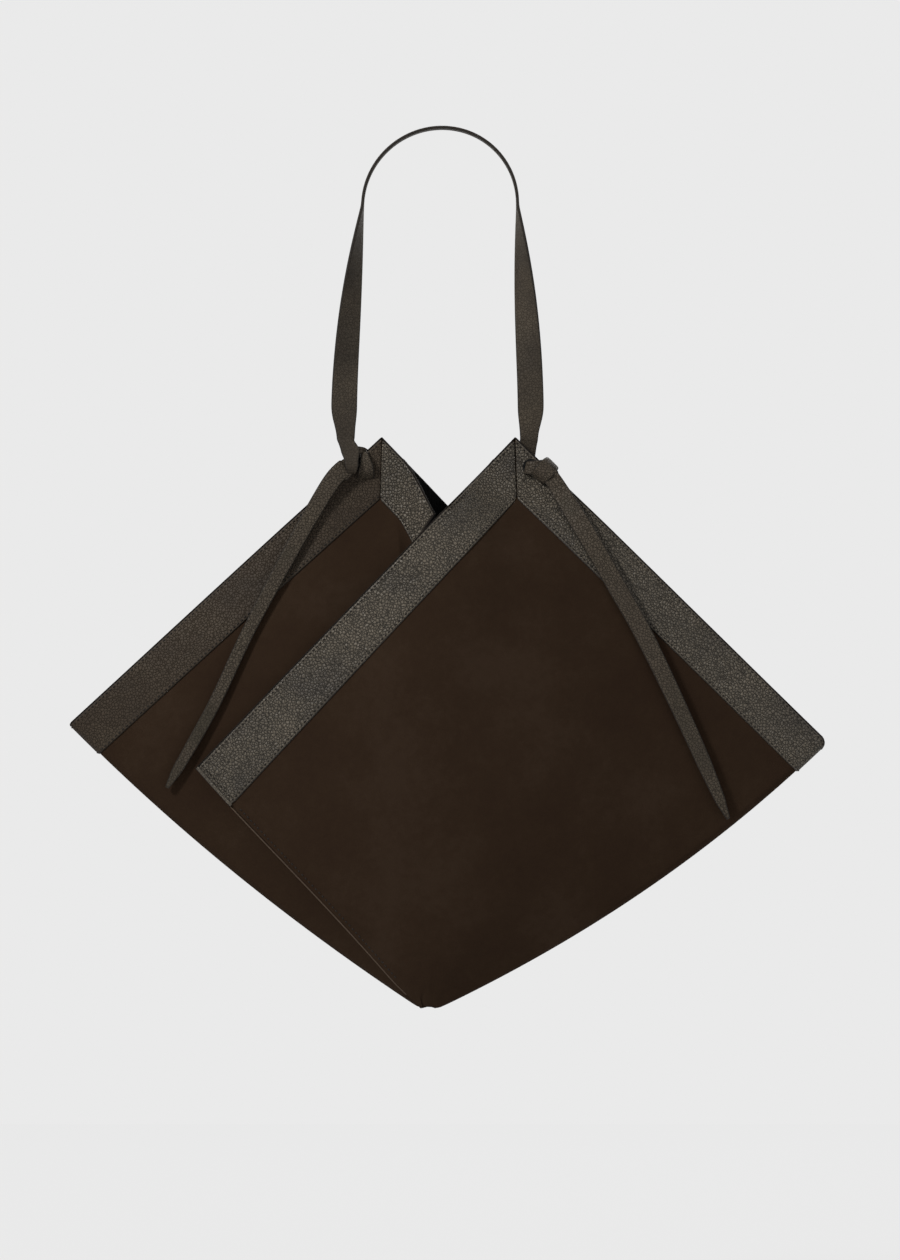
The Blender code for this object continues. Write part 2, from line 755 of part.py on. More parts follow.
def tail_place(sign, share):
    """Centre line of a tail in the front view."""
    down = tail_direction(sign)
    centre = knot_centre(sign)
    start = np.array([centre[0], centre[2]]) + down * (
        KNOT_LENGTH / 2 + STRAP_THICKNESS / 2 + 2 * CLEARANCE
    )
    bow = RIGHT_TAIL_BOW if sign > 0 else LEFT_TAIL_BOW
    aside = np.array([-down[1], down[0]]) * sign
    return start + (tail_end(sign) - start) * share + aside * bow * 4 * share * (1 - share)


def tail_point(sign, share):
    """Centre of the tail in space: it hangs from its knot and rests on the belly of the bag."""
    seen = tail_place(sign, share)
    start_depth = knot_centre(sign)[1]
    depth = rest_depth(sign, seen)
    if share < TAIL_TOUCH_SHARE:
        touch_depth = rest_depth(sign, tail_place(sign, TAIL_TOUCH_SHARE))
        hanging = start_depth + (touch_depth - start_depth) * share / TAIL_TOUCH_SHARE
        depth = min(depth, hanging) if share > 0 else start_depth
    return in_space(seen, depth)


def rest_depth(sign, seen):
    """Depth of the middle of a tail that rests on the front at a place seen from the front."""
    place = flattened(seen)
    lift = BORDER + 2 * CLEARANCE + TAIL_STANDOFF + STRAP_THICKNESS / 2
    if sign > 0:
        lift += panel_lift(place, sign)
    return skin(place, FRONT)[1] - lift / abs(skin_normal(place, FRONT)[1])


def tail(label, sign, finish_material):
    """A pointed tail that lies on the front of the bag and turns up at its knot."""
    down = tail_direction(sign)
    aside = np.array([-down[1], 0, down[0]])
    width_shares = RIGHT_TAIL_WIDTH_SHARES if sign > 0 else LEFT_TAIL_WIDTH_SHARES
    stations = []
    for k in range(TAIL_STEPS + 1):
        share = k / TAIL_STEPS
        width = np.interp(share, TAIL_RUN_SHARES, width_shares) * STRAP_WIDTH
        stations.append((tail_point(sign, share), aside, width / 2))
    points, normals = band_grid(stations, 2)
    points, normals = rounded_end(points, normals, 0, 1)
    half = STRAP_THICKNESS / 2
    return sheet_solid(f"{label}_tail", points, normals, half, -half, finish_material)


def half_pieces(label, sign, suede, lining, leather):
    """One half of the sheet: its suede, its lining and the three strips of its border.

    The lining stops short of the gathered bottom.
    """
    half = Half(sign)
    marks = half.marks
    outer = sheet_solid(f"{label}_half_suede", half.columns, half.normals, 0, -SUEDE, suede)
    lined = half.columns[:, LINING_FIRST_ROW:]
    lined_normals = half.normals[:, LINING_FIRST_ROW:]
    under_suede = -SUEDE - CLEARANCE
    inner = sheet_solid(f"{label}_half_lining", lined, lined_normals, under_suede, -LAYER, lining)
    panel = border_solid(f"{label}_panel_border", half, marks["seam"], marks["peak"], leather)
    around = border_solid(f"{label}_corner_border", half, marks["peak"], marks["tuck_peak"], leather)
    tucked = border_solid(f"{label}_tuck_border", half, marks["tuck_peak"], marks["end"], leather)
    cutter = hole_cutter(sign)
    for pierced in (outer, inner, around):
        combine(pierced, cutter, "DIFFERENCE")
    return [outer, inner, panel, around, tucked]


def pivot(name, place, pieces):
    """An empty on the axis of a joint, the parent of all that turns about it."""
    empty = bpy.data.objects.new(name, None)
    empty.location = place
    bpy.context.collection.objects.link(empty)
    for piece in pieces:
        piece.parent = empty
        piece.matrix_parent_inverse = Matrix.Translation(-Vector(place))
    return empty


def main():
    for old in list(bpy.data.objects):
        bpy.data.objects.remove(old)

    suede = material("suede", (0.027, 0.018, 0.013), 0.95)
    lining = material("lining", (0.005, 0.005, 0.005), 0.9)
    leather = material("leather", (0.06, 0.05, 0.04), 0.6)

    hung = []
    for sign, label in ((1, "right"), (-1, "left")):
        hung.extend(half_pieces(label, sign, suede, lining, leather))
        hung.append(knot(label, sign, leather))
        lying = tail(label, sign, leather)
        hung.append(pivot(f"{label}_tail_pivot", tail_point(sign, 0), [lying]))
    pivot("bag_pivot", (strap_end(1) + strap_end(-1)) / 2, hung)
    handle_strap(leather)


if __name__ == "__main__":
    main()
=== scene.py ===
"""Dresses the folded shoulder bag: suede halves, leather borders, knotted strap and stitching.

Metres, +Z up, front toward -Y. The origin is the underside of the strap at its crown.
"""

import logging
import math
from dataclasses import dataclass
from enum import Enum
from functools import cached_property

import bmesh
import bpy
import numpy as np
from mathutils import Matrix, Vector


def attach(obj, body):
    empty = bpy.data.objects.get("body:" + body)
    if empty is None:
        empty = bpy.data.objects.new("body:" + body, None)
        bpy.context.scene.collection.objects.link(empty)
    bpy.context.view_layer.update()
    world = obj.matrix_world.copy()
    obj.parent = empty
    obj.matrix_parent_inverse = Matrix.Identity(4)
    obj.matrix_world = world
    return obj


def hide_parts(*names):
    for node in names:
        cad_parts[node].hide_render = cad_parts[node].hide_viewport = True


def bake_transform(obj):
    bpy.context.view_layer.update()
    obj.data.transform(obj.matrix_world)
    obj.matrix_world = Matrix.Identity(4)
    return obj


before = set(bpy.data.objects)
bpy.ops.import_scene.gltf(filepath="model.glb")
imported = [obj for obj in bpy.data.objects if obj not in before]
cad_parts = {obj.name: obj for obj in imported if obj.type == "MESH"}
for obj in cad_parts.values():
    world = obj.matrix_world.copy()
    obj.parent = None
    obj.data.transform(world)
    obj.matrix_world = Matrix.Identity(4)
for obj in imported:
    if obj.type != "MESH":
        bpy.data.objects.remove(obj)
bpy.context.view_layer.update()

log = logging.getLogger("bag")

Socket = bpy.types.NodeSocket
Value = float | np.ndarray
PIXEL = 0.0008
CROWN_PIXEL = (442, 130)
MM = 0.001


class Side(Enum):
    """The two ends of the folded bag, seen from the front."""

    LEFT = -1
    RIGHT = 1

    @property
    def label(self) -> str:
        """Word that starts the names of this side's pieces."""
        return self.name.lower()


class Strip(Enum):
    """The three strips of border on each half."""

    PANEL = "panel"
    CORNER = "corner"
    TUCK = "tuck"


# Pixels from the left and the top of the photograph, along the middle of each tail.
TAIL_PIXELS = {
    Side.LEFT: (
        (345, 468),
        (333, 480),
        (314, 511),
        (293, 549),
        (250, 630),
        (212.5, 709),
        (168.5, 786),
    ),
    Side.RIGHT: (
        (546, 471),
        (554, 482),
        (573, 513),
        (591, 543),
        (616, 587),
        (645, 639),
        (688, 729),
        (727, 817),
    ),
}
TAIL_RUN_SHARES = (0, 0.15, 0.5, 0.85, 0.95, 1)
TAIL_WIDTH_SHARES = {
    Side.LEFT: (0.7, 0.64, 0.5, 0.47, 0.4, 0.18),
    Side.RIGHT: (0.62, 0.75, 0.7, 0.58, 0.42, 0.18),
}
HOLE_PIXELS = {Side.LEFT: (363, 466), Side.RIGHT: (530.3, 467)}

# The strap's ends inside the knots: pixels, then depth and half width in millimetres.
HANDLE_ENDS = {
    Side.LEFT: (
        (347, 443.5, -8.5, 6.5),
        (350, 450, -11, 7.4),
        (351, 454.5, -13, 7.0),
        (351.6, 460, -15, 5.8),
        (352, 467, -15, 5.2),
        (351.5, 473, -12, 3.6),
        (350, 470, -8.5, 3.0),
    ),
    Side.RIGHT: ((528, 446, 8, 7.0), (527, 458, 9, 6.5), (527, 469, 7, 5.5), (528, 473, 1, 5.0)),
}

# Each visible turn of a knot: half its thickness in millimetres, then for each of its places the
# pixels, depth and half width in millimetres, and the width's direction along X and Z.
KNOT_TURNS = {
    Side.LEFT: {
        "tongue": (
            1.5,
            (362, 450, 3, 3.0, 1, 0.2),
            (364.5, 454, -5.5, 3.0, 1, 0.2),
            (365.3, 459, -9.5, 4.0, 1, 0.1),
            (366.2, 465, -10, 5.4, 1, 0),
            (366.2, 472, -8.5, 6.6, 1, 0),
            (366, 477.5, -4, 6.8, 1, 0),
        ),
        "back": (
            1.5,
            (366, 474, 0, 4.6, 1, 0),
            (366.4, 470, 6, 6.4, 1, 0),
            (366, 462, 8, 6.2, 1, 0),
            (364, 454, 7, 4.6, 1, 0),
            (362, 449.5, 2, 3.2, 1, 0),
        ),
        "ledge": (
            1.4,
            (350, 450, -7, 3.6, 0, 1),
            (357, 450.4, -8, 3.2, 0, 1),
            (362.5, 450.6, -6, 2.8, 0.1, 1),
            (366, 451.5, 3, 2.2, 0.2, 1),
        ),
        "under": (
            1.6,
            (353, 462, -8, 6.2, 0.72, -0.68),
            (347, 468, -11, 7.4, 0.72, -0.68),
            (341, 474, -11.75, 7.6, 0.78, -0.62),
        ),
    },
    Side.RIGHT: {
        "tongue": (
            1.5,
            (526, 468, -1, 5.2, 0.25, 1),
            (527.6, 468, -5.5, 5.6, 0.25, 1),
            (534, 468, -7.6, 5.8, 0.3, 1),
            (541, 467, -7.8, 5.6, 0.4, 1),
            (546, 466, -6.5, 5.4, 0.4, 1),
        ),
        "band": (
            1.7,
            (552, 463.4, 2, 6.6, 0.717, -0.697),
            (551.2, 464.2, -7, 7.0, 0.717, -0.697),
            (548.2, 467.3, -13, 7.6, 0.717, -0.697),
            (543.3, 472.3, -14.5, 7.8, 0.717, -0.697),
            (539.3, 476.5, -12, 7.2, 0.717, -0.697),
            (537.6, 478.2, -6, 6.2, 0.717, -0.697),
        ),
        "under": (
            1.5,
            (543, 466, -8, 6.0, 0.88, 0.46),
            (546.5, 472, -11, 7.6, 0.88, 0.46),
            (549.5, 477, -11.75, 8.0, 0.88, 0.46),
        ),
    },
}


def held(value: float) -> float:
    """The value, held between 0 and 1."""
    return min(max(value, 0.0), 1.0)


def smoothstep(value: float) -> float:
    """Ease from 0 to 1, held outside that range."""
    return held(value) ** 2 * (3 - 2 * held(value))


def hump(share: float) -> float:
    """A parabola that is 1 halfway and 0 at both ends and past them."""
    return max(4 * share * (1 - share), 0.0)


def late_hump(share: float) -> float:
    """A curve that is 0 at both ends and 1 at two thirds of the way."""
    return 27 / 4 * share**2 * (1 - share)


def between(start: Value, end: Value, share: float) -> Value:
    """The number or place at a share of the way from start to end."""
    return start + (end - start) * share


def unit(vector: np.ndarray) -> np.ndarray:
    """The vector at length one."""
    return vector / np.linalg.norm(vector)


def cross2(a: np.ndarray, b: np.ndarray) -> float:
    """Cross product of two vectors of the front view."""
    return a[0] * b[1] - a[1] * b[0]


def crossing(a: np.ndarray, a_end: np.ndarray, b: np.ndarray, b_end: np.ndarray) -> np.ndarray:
    """Where the line a to a_end meets the line b to b_end, in the front view."""
    run = a_end - a
    other = b_end - b
    return a + run * (cross2(b - a, other) / cross2(run, other))


def from_pixel(x: float, y: float, depth: float = 0.0) -> np.ndarray:
    """A point in space from a place in the photograph and a depth in millimetres."""
    return np.array([(x - CROWN_PIXEL[0]) * PIXEL, depth * MM, (CROWN_PIXEL[1] - y) * PIXEL])


def linear(hex_colour: str) -> tuple[float, float, float, float]:
    """Turns an sRGB hex colour into linear values with full alpha."""
    values = []
    for start in (1, 3, 5):
        share = int(hex_colour[start : start + 2], 16) / 255
        values.append(share / 12.92 if share <= 0.04045 else ((share + 0.055) / 1.055) ** 2.4)
    return (values[0], values[1], values[2], 1.0)


def run_along(points: np.ndarray) -> np.ndarray:
    """Length of a line of points up to each of them."""
    steps = np.linalg.norm(np.diff(points, axis=0), axis=1)
    return np.concatenate([[0], np.cumsum(steps)])


def place_along(points: np.ndarray, run: np.ndarray, where: float) -> np.ndarray:
    """The values of a line of points where its run has a given length."""
    return np.array([np.interp(where, run, values) for values in points.T])


def smooth_path(points: list, steps: int = 6) -> np.ndarray:
    """Rows of a smooth curve through the given places or other values.

    Args:
        points: what the curve goes through.
        steps: divisions between each two of them.

    Returns:
        An array with one row for each point of the curve.
    """
    ends = [np.asarray(point, float) for point in (points[0], *points, points[-1])]
    made = []
    for before, start, end, after in zip(ends, ends[1:], ends[2:], ends[3:]):
        bend = 2 * before - 5 * start + 4 * end - after
        twist = 3 * start - before - 3 * end + after
        for step in range(steps):
            t = step / steps
            made.append((2 * start + (end - before) * t + bend * t**2 + twist * t**3) / 2)
    return np.array([*made, ends[-1]])


@dataclass(frozen=True)
class BagForm:
    """Sizes of the hanging bag in metres, and the surface that its layers follow.

    The layers lie on a fan of rays from an apex under the bottom. A place of the front view has a
    share across it, from 0 at the left fold to 1 at the right one, and a rise, which is 1 on the
    rim. Names that end in share are shares of those two. The ripples have for each peak its sign
    and the count and phase of the folds below it.
    """

    axis_x: float = 0.0052
    peak_reach: float = 0.0534
    peak_drop: float = 0.2462
    corner_reach: float = 0.3028
    left_corner_drop: float = 0.4752
    right_corner_drop: float = 0.4896
    seam_reach: float = 0.2012
    seam_drop: float = 0.5104
    bottom_x: float = -0.0110
    bottom_drop: float = 0.7020
    bottom_half_width: float = 0.0045
    left_bow: float = 0.009
    left_bow_share: float = 0.25
    right_bow: float = 0.0155
    right_bow_share: float = 0.35
    full_depth: float = 0.040
    fill_power: float = 0.8
    section_power: float = 2.4
    mouth_depth: float = 0.028
    mouth_share: float = 0.08
    pinch_depth: float = 0.003
    pinch_start: float = 0.040
    pinch_end: float = 0.104
    corner_fold_radius: float = 0.006
    bottom_fold_radius: float = 0.0026
    left_corner_round: float = 0.002
    right_corner_round: float = 0.0065
    border: float = 0.0012
    border_width: float = 0.041
    corner_border: float = 0.034
    mitre_drop: float = 0.0498
    mitre_lean: float = 0.0015
    tuck_lift: float = 0.0025
    tuck_depth: float = 0.012
    panel_lift_height: float = 0.0079
    panel_rise_run: float = 0.030
    panel_fade_share: float = 0.4
    seam_pull: float = 0.003
    roll_start_reach: float = 0.0372
    roll_inner_run: float = 0.020
    roll_reach: float = 0.0255
    roll_reach_bottom: float = 0.001
    roll_sag: float = 0.006
    ripple_depth: float = 0.0011
    ripple_start: float = 0.05
    ripple_run: float = 0.08
    ripple_fade: float = 0.26
    ripple_drift: float = 9.0
    ripples: tuple = ((-1, 9.0, 0.7), (1, 11.0, 2.1))
    slack_waves: tuple = (31, 17, 23)
    slack_part: float = 0.8

    def corner(self, sign: int) -> np.ndarray:
        """Side corner of the bag."""
        drop = self.right_corner_drop if sign > 0 else self.left_corner_drop
        return np.array([self.axis_x + sign * self.corner_reach, -drop])

    def peak(self, sign: int) -> np.ndarray:
        """Upper corner, at a knot."""
        return np.array([self.axis_x + sign * self.peak_reach, -self.peak_drop])

    def seam_end(self, sign: int) -> np.ndarray:
        """Free corner of a panel, as it is seen."""
        return np.array([self.axis_x + sign * self.seam_reach, -self.seam_drop])

    def folded_corner(self, sign: int) -> np.ndarray:
        """The side corner drawn in by the radius of its fold."""
        corner = self.corner(sign)
        return corner + unit(self.peak(sign) - corner) * self.corner_fold_radius

    def bottom_end(self, sign: int) -> np.ndarray:
        """End of the gathered bottom."""
        return np.array([self.bottom_x + sign * self.bottom_half_width, -self.bottom_drop])

    def mitre(self, sign: int) -> np.ndarray:
        """Inner end of the mitre seam under a peak."""
        return self.peak(sign) + np.array([sign * self.mitre_lean, -self.mitre_drop])

    @cached_property
    def apex(self) -> np.ndarray:
        """Where the lines of the two side folds would meet, under the bottom."""
        left = (self.folded_corner(-1), self.bottom_end(-1))
        return crossing(*left, self.folded_corner(1), self.bottom_end(1))

    @cached_property
    def fold_angles(self) -> list[float]:
        """Angles of the left and the right fold round the apex."""
        return [self.angle_of(self.folded_corner(sign)) for sign in (-1, 1)]

    @cached_property
    def ray_lengths(self) -> list[float]:
        """Distances from the apex to the left fold's corner, the right one's and a peak."""
        ends = (self.folded_corner(-1), self.folded_corner(1), self.peak(1))
        return [math.dist(end, self.apex) for end in ends]

    def angle_of(self, point: np.ndarray) -> float:
        """Angle of a place round the apex."""
        return math.atan2(point[1] - self.apex[1], point[0] - self.apex[0])

    def fan(self, point: np.ndarray) -> tuple[float, float, float]:
        """Share across from left to right, share of the rise, and distance to the apex."""
        left_angle, right_angle = self.fold_angles
        left, right, peak = self.ray_lengths
        across = (left_angle - self.angle_of(point)) / (left_angle - right_angle)
        crown = (peak - (left + right) / 2) * math.sin(math.pi * held(across)) ** 4
        distance = math.dist(point, self.apex)
        return across, distance / (between(left, right, held(across)) + crown), distance

    def fold_radius(self, rise: float) -> float:
        """Outer radius of the side folds, tight at the bottom."""
        growth = 1 - (1 - min(rise, 1)) ** 2
        return between(self.bottom_fold_radius, self.corner_fold_radius, growth)

    def front_share(self, across: float) -> float:
        """1 where the front panel lies over the tuck, 0 at the right fold."""
        return 1 - smoothstep((across - 0.5) / self.panel_fade_share)

    def bowed(self, point: np.ndarray, across: float, rise: float) -> np.ndarray:
        """Moves a point of the straight fan out to the full, curved lower edges."""
        left = self.bottom_end(-1) - self.folded_corner(-1)
        right = self.folded_corner(1) - self.bottom_end(1)
        left_out = unit(np.array([left[1], -left[0]])) * self.left_bow
        right_out = unit(np.array([right[1], -right[0]])) * self.right_bow
        left_part = max(0.0, 1 - max(across, 0) / self.left_bow_share) ** 2
        right_part = max(0.0, 1 - max(1 - across, 0) / self.right_bow_share) ** 2
        return point + (left_out * left_part + right_out * right_part) * hump(rise)

    def flattened(self, seen: np.ndarray, tries: int = 4) -> np.ndarray:
        """The place of the straight fan that bowed() moves to a place seen from the front."""
        place = seen
        for _ in range(tries):
            across, rise, _ = self.fan(place)
            place = place + seen - self.bowed(place, across, rise)
        return place

    def freedom(self, point: np.ndarray) -> float:
        """0 where the layers are pinched together round a peak, 1 away from both peaks."""
        nearest = min(math.dist(point, self.peak(-1)), math.dist(point, self.peak(1)))
        return smoothstep((nearest - self.pinch_start) / (self.pinch_end - self.pinch_start))

    def ripple(self, point: np.ndarray, side: int) -> float:
        """How far the soft slack of the suede stands out, in folds that fan from the peaks.

        Args:
            point: a place of the front view.
            side: -1 in front, 1 behind.

        Returns:
            The height, in metres.
        """
        total = 0.0
        for sign, count, phase in self.ripples:
            peak = self.peak(sign)
            away = math.dist(point, peak)
            turn = math.atan2(point[0] - peak[0], peak[1] - point[1] + 1e-6)
            fade = math.exp(-((away / self.ripple_fade) ** 2))
            reach = smoothstep((away - self.ripple_start) / self.ripple_run) * fade
            total += reach * math.sin(turn * count + phase * side + away * self.ripple_drift)
        (x, z), (first, second, third) = point, self.slack_waves
        slack = math.sin(x * first + z * second + side) * math.sin(z * third - side)
        return self.ripple_depth * (total + self.slack_part * slack) * self.freedom(point)

    def body_depth(self, point: np.ndarray, cosine: float = 1.0, inset: float = 1.0) -> float:
        """Half depth of the body at a place of the front view.

        Args:
            point: a place of the straight fan.
            cosine: share of the fold's radius that counts as depth.
            inset: share of the fold's radius by which the place is drawn in.

        Returns:
            The half depth, in metres.
        """
        across, rise, distance = self.fan(point)
        radius = self.fold_radius(rise)
        width = distance * (self.fold_angles[0] - self.fold_angles[1])
        from_fold = width * (held(across) if across <= 0.5 else 1 - held(across))
        gap = radius * inset + from_fold
        crown = 1 - abs(2 * gap / (width + 2 * radius) - 1) ** self.section_power
        mouth = math.exp(-(((across - 0.5) / self.mouth_share) ** 2)) * rise**4
        fill = self.full_depth * hump(rise) ** self.fill_power + self.mouth_depth * mouth
        return between(self.pinch_depth, radius * cosine + crown * fill, self.freedom(point))

    def skin(
        self,
        point: np.ndarray,
        side: int,
        depth: float | None = None,
        outward: np.ndarray | None = None,
    ) -> np.ndarray:
        """The tucked layer's outer face at a place of the front view, as a point in space.

        Args:
            point: a place of the straight fan.
            side: -1 in front, 1 behind.
            depth: half depth there, where it isn't the body's own.
            outward: a move in the front view round a side fold, which has no ripple.

        Returns:
            The point, in metres.
        """
        across, rise, _ = self.fan(point)
        half = self.body_depth(point) if depth is None else depth
        seen = self.bowed(point, across, rise)
        if outward is not None:
            seen = seen + outward
        else:
            half += self.ripple(point, side) * hump(across) * hump(rise)
        lean = self.front_share(across) - self.front_share(1 - across)
        shift = self.panel_lift_height / 2 * lean * max(1 - rise, 0) ** 2
        return np.array([seen[0], side * half + shift, seen[1]])

    def skin_normal(self, point: np.ndarray, side: int, probe: float = 0.0003) -> np.ndarray:
        """Outward direction of the skin, from four places a probe away."""
        step_x = self.skin(point + (probe, 0), side) - self.skin(point - (probe, 0), side)
        step_z = self.skin(point + (0, probe), side) - self.skin(point - (0, probe), side)
        normal = unit(np.cross(step_x, step_z))
        return normal * (1 if normal[1] * side > 0 else -1)

    def lifted(self, point: np.ndarray, side: int, lift: float) -> np.ndarray:
        """A place off the skin by a lift, moved in depth alone above the narrow bottom."""
        least_slope, depth_rise, level_rise = 0.7, 0.6, 0.12
        if lift == 0:
            return self.skin(point, side)
        normal = self.skin_normal(point, side)
        _, rise, _ = self.fan(point)
        in_depth = np.array([0, side / max(abs(normal[1]), least_slope), 0])
        away = between(normal, in_depth, smoothstep(rise / depth_rise))
        away[2] *= smoothstep(rise / level_rise)
        return self.skin(point, side) + away * lift

    def panel_lift(self, point: np.ndarray, sign: int) -> float:
        """How far the outer panel of a half stands off the other half's tuck beneath it."""
        across, _, _ = self.fan(point)
        share = self.front_share(across if sign > 0 else 1 - across)
        near = math.dist(point, self.peak(sign)) - self.pinch_start
        return self.panel_lift_height * share * smoothstep(near / self.panel_rise_run)


@dataclass
class HalfSheet:
    """The outer faces of one half of the square sheet, as columns from the bottom to the rim.

    The right half has its panel in front and its fold at the right corner, and the left half is
    the same turned half round.
    """

    form: BagForm
    side: Side
    body_rows: int = 34
    border_rows: int = 8
    seam_columns: int = 22
    peak_columns: int = 12
    corner_columns: int = 36
    fold_columns: int = 9
    mouth_columns: int = 4
    roll_columns: int = 24
    row_power: float = 0.9
    base_power: float = 0.3
    pull_fade: float = 0.3
    pull_aside: float = 0.73
    pull_up: float = 0.68
    sink_start: float = 0.25
    sink_run: float = 0.21
    lip_power: float = 2.2
    round_power: float = 1.5
    climb_power: float = 3

    def __post_init__(self) -> None:
        """Lays the grid and its outward directions."""
        form = self.form
        self.sign = self.side.value
        self.panel_side = -self.sign
        self.peak = form.peak(self.sign)
        self.corner = form.folded_corner(self.sign)
        self.mitre = form.mitre(self.sign)
        self.seam_end, self.seam_inner = self.seam_corner(-self.sign)
        toward_bottom = unit(form.bottom_end(self.sign) - self.corner)
        self.corner_inner = self.corner + toward_bottom * form.corner_border
        self.marks: dict[str, int] = {}
        self.columns = self.lay_columns()
        self.normals = self.outward_normals()

    def seam_corner(self, sign: int) -> tuple[np.ndarray, np.ndarray]:
        """Free corner of a panel on one side, and the inner end of its border."""
        end = self.form.flattened(self.form.seam_end(sign))
        return end, end + unit(self.base(end) - end) * self.form.border_width

    def rounded_corner(self, sine: float) -> np.ndarray:
        """Place of the rim on the side fold, let down where the corner is rounded off."""
        radius = self.form.right_corner_round if self.sign > 0 else self.form.left_corner_round
        past = max(radius - self.form.corner_fold_radius * (1 - sine), 0)
        drop = radius - math.sqrt(radius**2 - past**2)
        return self.corner + unit(self.corner_inner - self.corner) * drop

    def base(self, rim_point: np.ndarray) -> np.ndarray:
        """Where the column that ends at this place of the rim starts at the bottom."""
        offset = 2 * held(self.form.fan(rim_point)[0]) - 1
        reach = self.form.bottom_half_width * abs(offset) ** self.base_power
        return np.array([self.form.bottom_x + math.copysign(reach, offset), -self.form.bottom_drop])

    def rows(
        self, inner: np.ndarray, rim: np.ndarray, base: np.ndarray | None = None
    ) -> list[np.ndarray]:
        """The places of one column: from the bottom to the border, then across the border."""
        start = self.base(rim) if base is None else base
        shares = [(k / self.body_rows) ** self.row_power for k in range(self.body_rows + 1)]
        border_shares = [(k + 1) / self.border_rows for k in range(self.border_rows)]
        body = [between(start, inner, share) for share in shares]
        return body + [between(inner, rim, share) for share in border_shares]

    def pulled(self, inner: np.ndarray, rim: np.ndarray, seam_side: int) -> list[np.ndarray]:
        """The places of a column, drawn toward the middle where it is near a seam.

        Args:
            inner: inner edge of the border.
            rim: the column's end on the rim.
            seam_side: -1 where the seam is at the left and 1 where it is at the right.

        Returns:
            The places, from the bottom to the rim.
        """
        across, _, _ = self.form.fan(rim)
        from_seam = across if seam_side < 0 else 1 - across
        pull = self.form.seam_pull * smoothstep((0.5 - from_seam) / self.pull_fade)
        toward_middle = unit(np.array([-seam_side * self.pull_aside, self.pull_up])) * pull
        length = math.dist(self.base(rim), rim)
        return [
            place + toward_middle * late_hump(math.dist(place, rim) / length)
            for place in self.rows(inner, rim)
        ]

    def panel_column(self, inner: np.ndarray, rim: np.ndarray) -> list[np.ndarray]:
        """A column of the outer panel."""
        return [
            self.form.lifted(place, self.panel_side, self.form.panel_lift(place, self.sign))
            for place in self.pulled(inner, rim, -self.sign)
        ]

    def tuck_column(self, inner: np.ndarray, rim: np.ndarray) -> list[np.ndarray]:
        """A column of the tucked part, which sinks toward the roll."""
        places = self.rows(inner, rim)
        column = []
        for row, place in enumerate(places):
            across, _, _ = self.form.fan(place)
            from_fold = 1 - across if self.sign > 0 else across
            near_roll = smoothstep((from_fold - self.sink_start) / self.sink_run)
            sink = self.form.tuck_depth * near_roll * late_hump(row / (len(places) - 1))
            column.append(self.form.lifted(place, self.sign, -sink * self.form.freedom(place)))
        return column

    def return_column(self, inner: np.ndarray, rim: np.ndarray) -> list[np.ndarray]:
        """A column behind the other half's panel, its suede facing inward."""
        places = self.pulled(inner, rim, self.sign)
        return [self.form.lifted(place, self.sign, self.form.tuck_lift) for place in places]

    def fold(self) -> list[list[np.ndarray]]:
        """The fold at the side corner, from the panel round to the tucked part."""
        form = self.form
        out_at_top = unit(form.corner(self.sign) - self.peak)
        out_at_bottom = np.array([self.sign, 0])
        columns = []
        for step in range(1, self.fold_columns):
            turn = math.pi * step / self.fold_columns
            sine = math.sin(turn)
            side = self.panel_side if turn < math.pi / 2 else self.sign
            rim = self.rounded_corner(sine)
            column = []
            for place in self.rows(self.corner_inner, rim, form.bottom_end(self.sign)):
                _, rise, _ = form.fan(place)
                out = unit(out_at_bottom * max(1 - rise, 0) + out_at_top * rise)
                half = form.body_depth(place, abs(math.cos(turn)), 1 - sine)
                column.append(form.skin(place, side, half, out * form.fold_radius(rise) * sine))
            columns.append(column)
        return columns

    def roll(
        self, tucked: list[np.ndarray], returned: list[np.ndarray]
    ) -> list[list[np.ndarray]]:
        """The roll at the mouth between the tucked part and the part that returns."""
        form = self.form
        last = len(tucked) - 1
        columns = []
        for step in range(1, self.roll_columns):
            turn = math.pi * step / self.roll_columns
            toward = math.copysign(abs(math.cos(turn)) ** self.lip_power, math.cos(turn))
            column = []
            for row, (near, far) in enumerate(zip(tucked, returned)):
                climb = (row / last) ** self.climb_power
                reach = between(form.roll_reach_bottom, form.roll_reach, climb)
                out = np.array([-self.sign * reach, 0, -form.roll_sag * climb])
                middle = (near + far) / 2 + (near - far) / 2 * toward
                column.append(middle + out * math.sin(turn) ** self.round_power)
            columns.append(column)
        return columns

    def lay_columns(self) -> np.ndarray:
        """All columns from the panel's free end round the peak, the fold and the roll."""
        form = self.form
        seam_length = form.peak_reach + form.seam_reach
        roll_share = 1 - (form.peak_reach + form.roll_start_reach) / seam_length
        to_roll = [roll_share * k / self.seam_columns for k in range(self.seam_columns + 1)]
        to_peak = [between(roll_share, 1, k / self.peak_columns) for k in range(self.peak_columns + 1)]
        turns = [math.pi * k / self.corner_columns for k in range(self.corner_columns + 1)]
        to_corner = [
            (
                between(self.mitre, self.corner_inner, (1 - math.cos(turn)) / 2),
                between(self.peak, self.corner, (1 - math.cos(turn)) / 2),
            )
            for turn in turns
        ]
        columns = []
        self.marks["seam"] = 0
        for share in to_roll + to_peak[1:]:
            inner = between(self.seam_inner, self.mitre, share)
            columns.append(self.panel_column(inner, between(self.seam_end, self.peak, share)))
        self.marks["peak"] = len(columns) - 1
        columns.extend(self.panel_column(*ends) for ends in to_corner[1:])
        columns.extend(self.fold())
        columns.extend(self.tuck_column(*ends) for ends in reversed(to_corner))
        self.marks["tuck_peak"] = len(columns) - 1

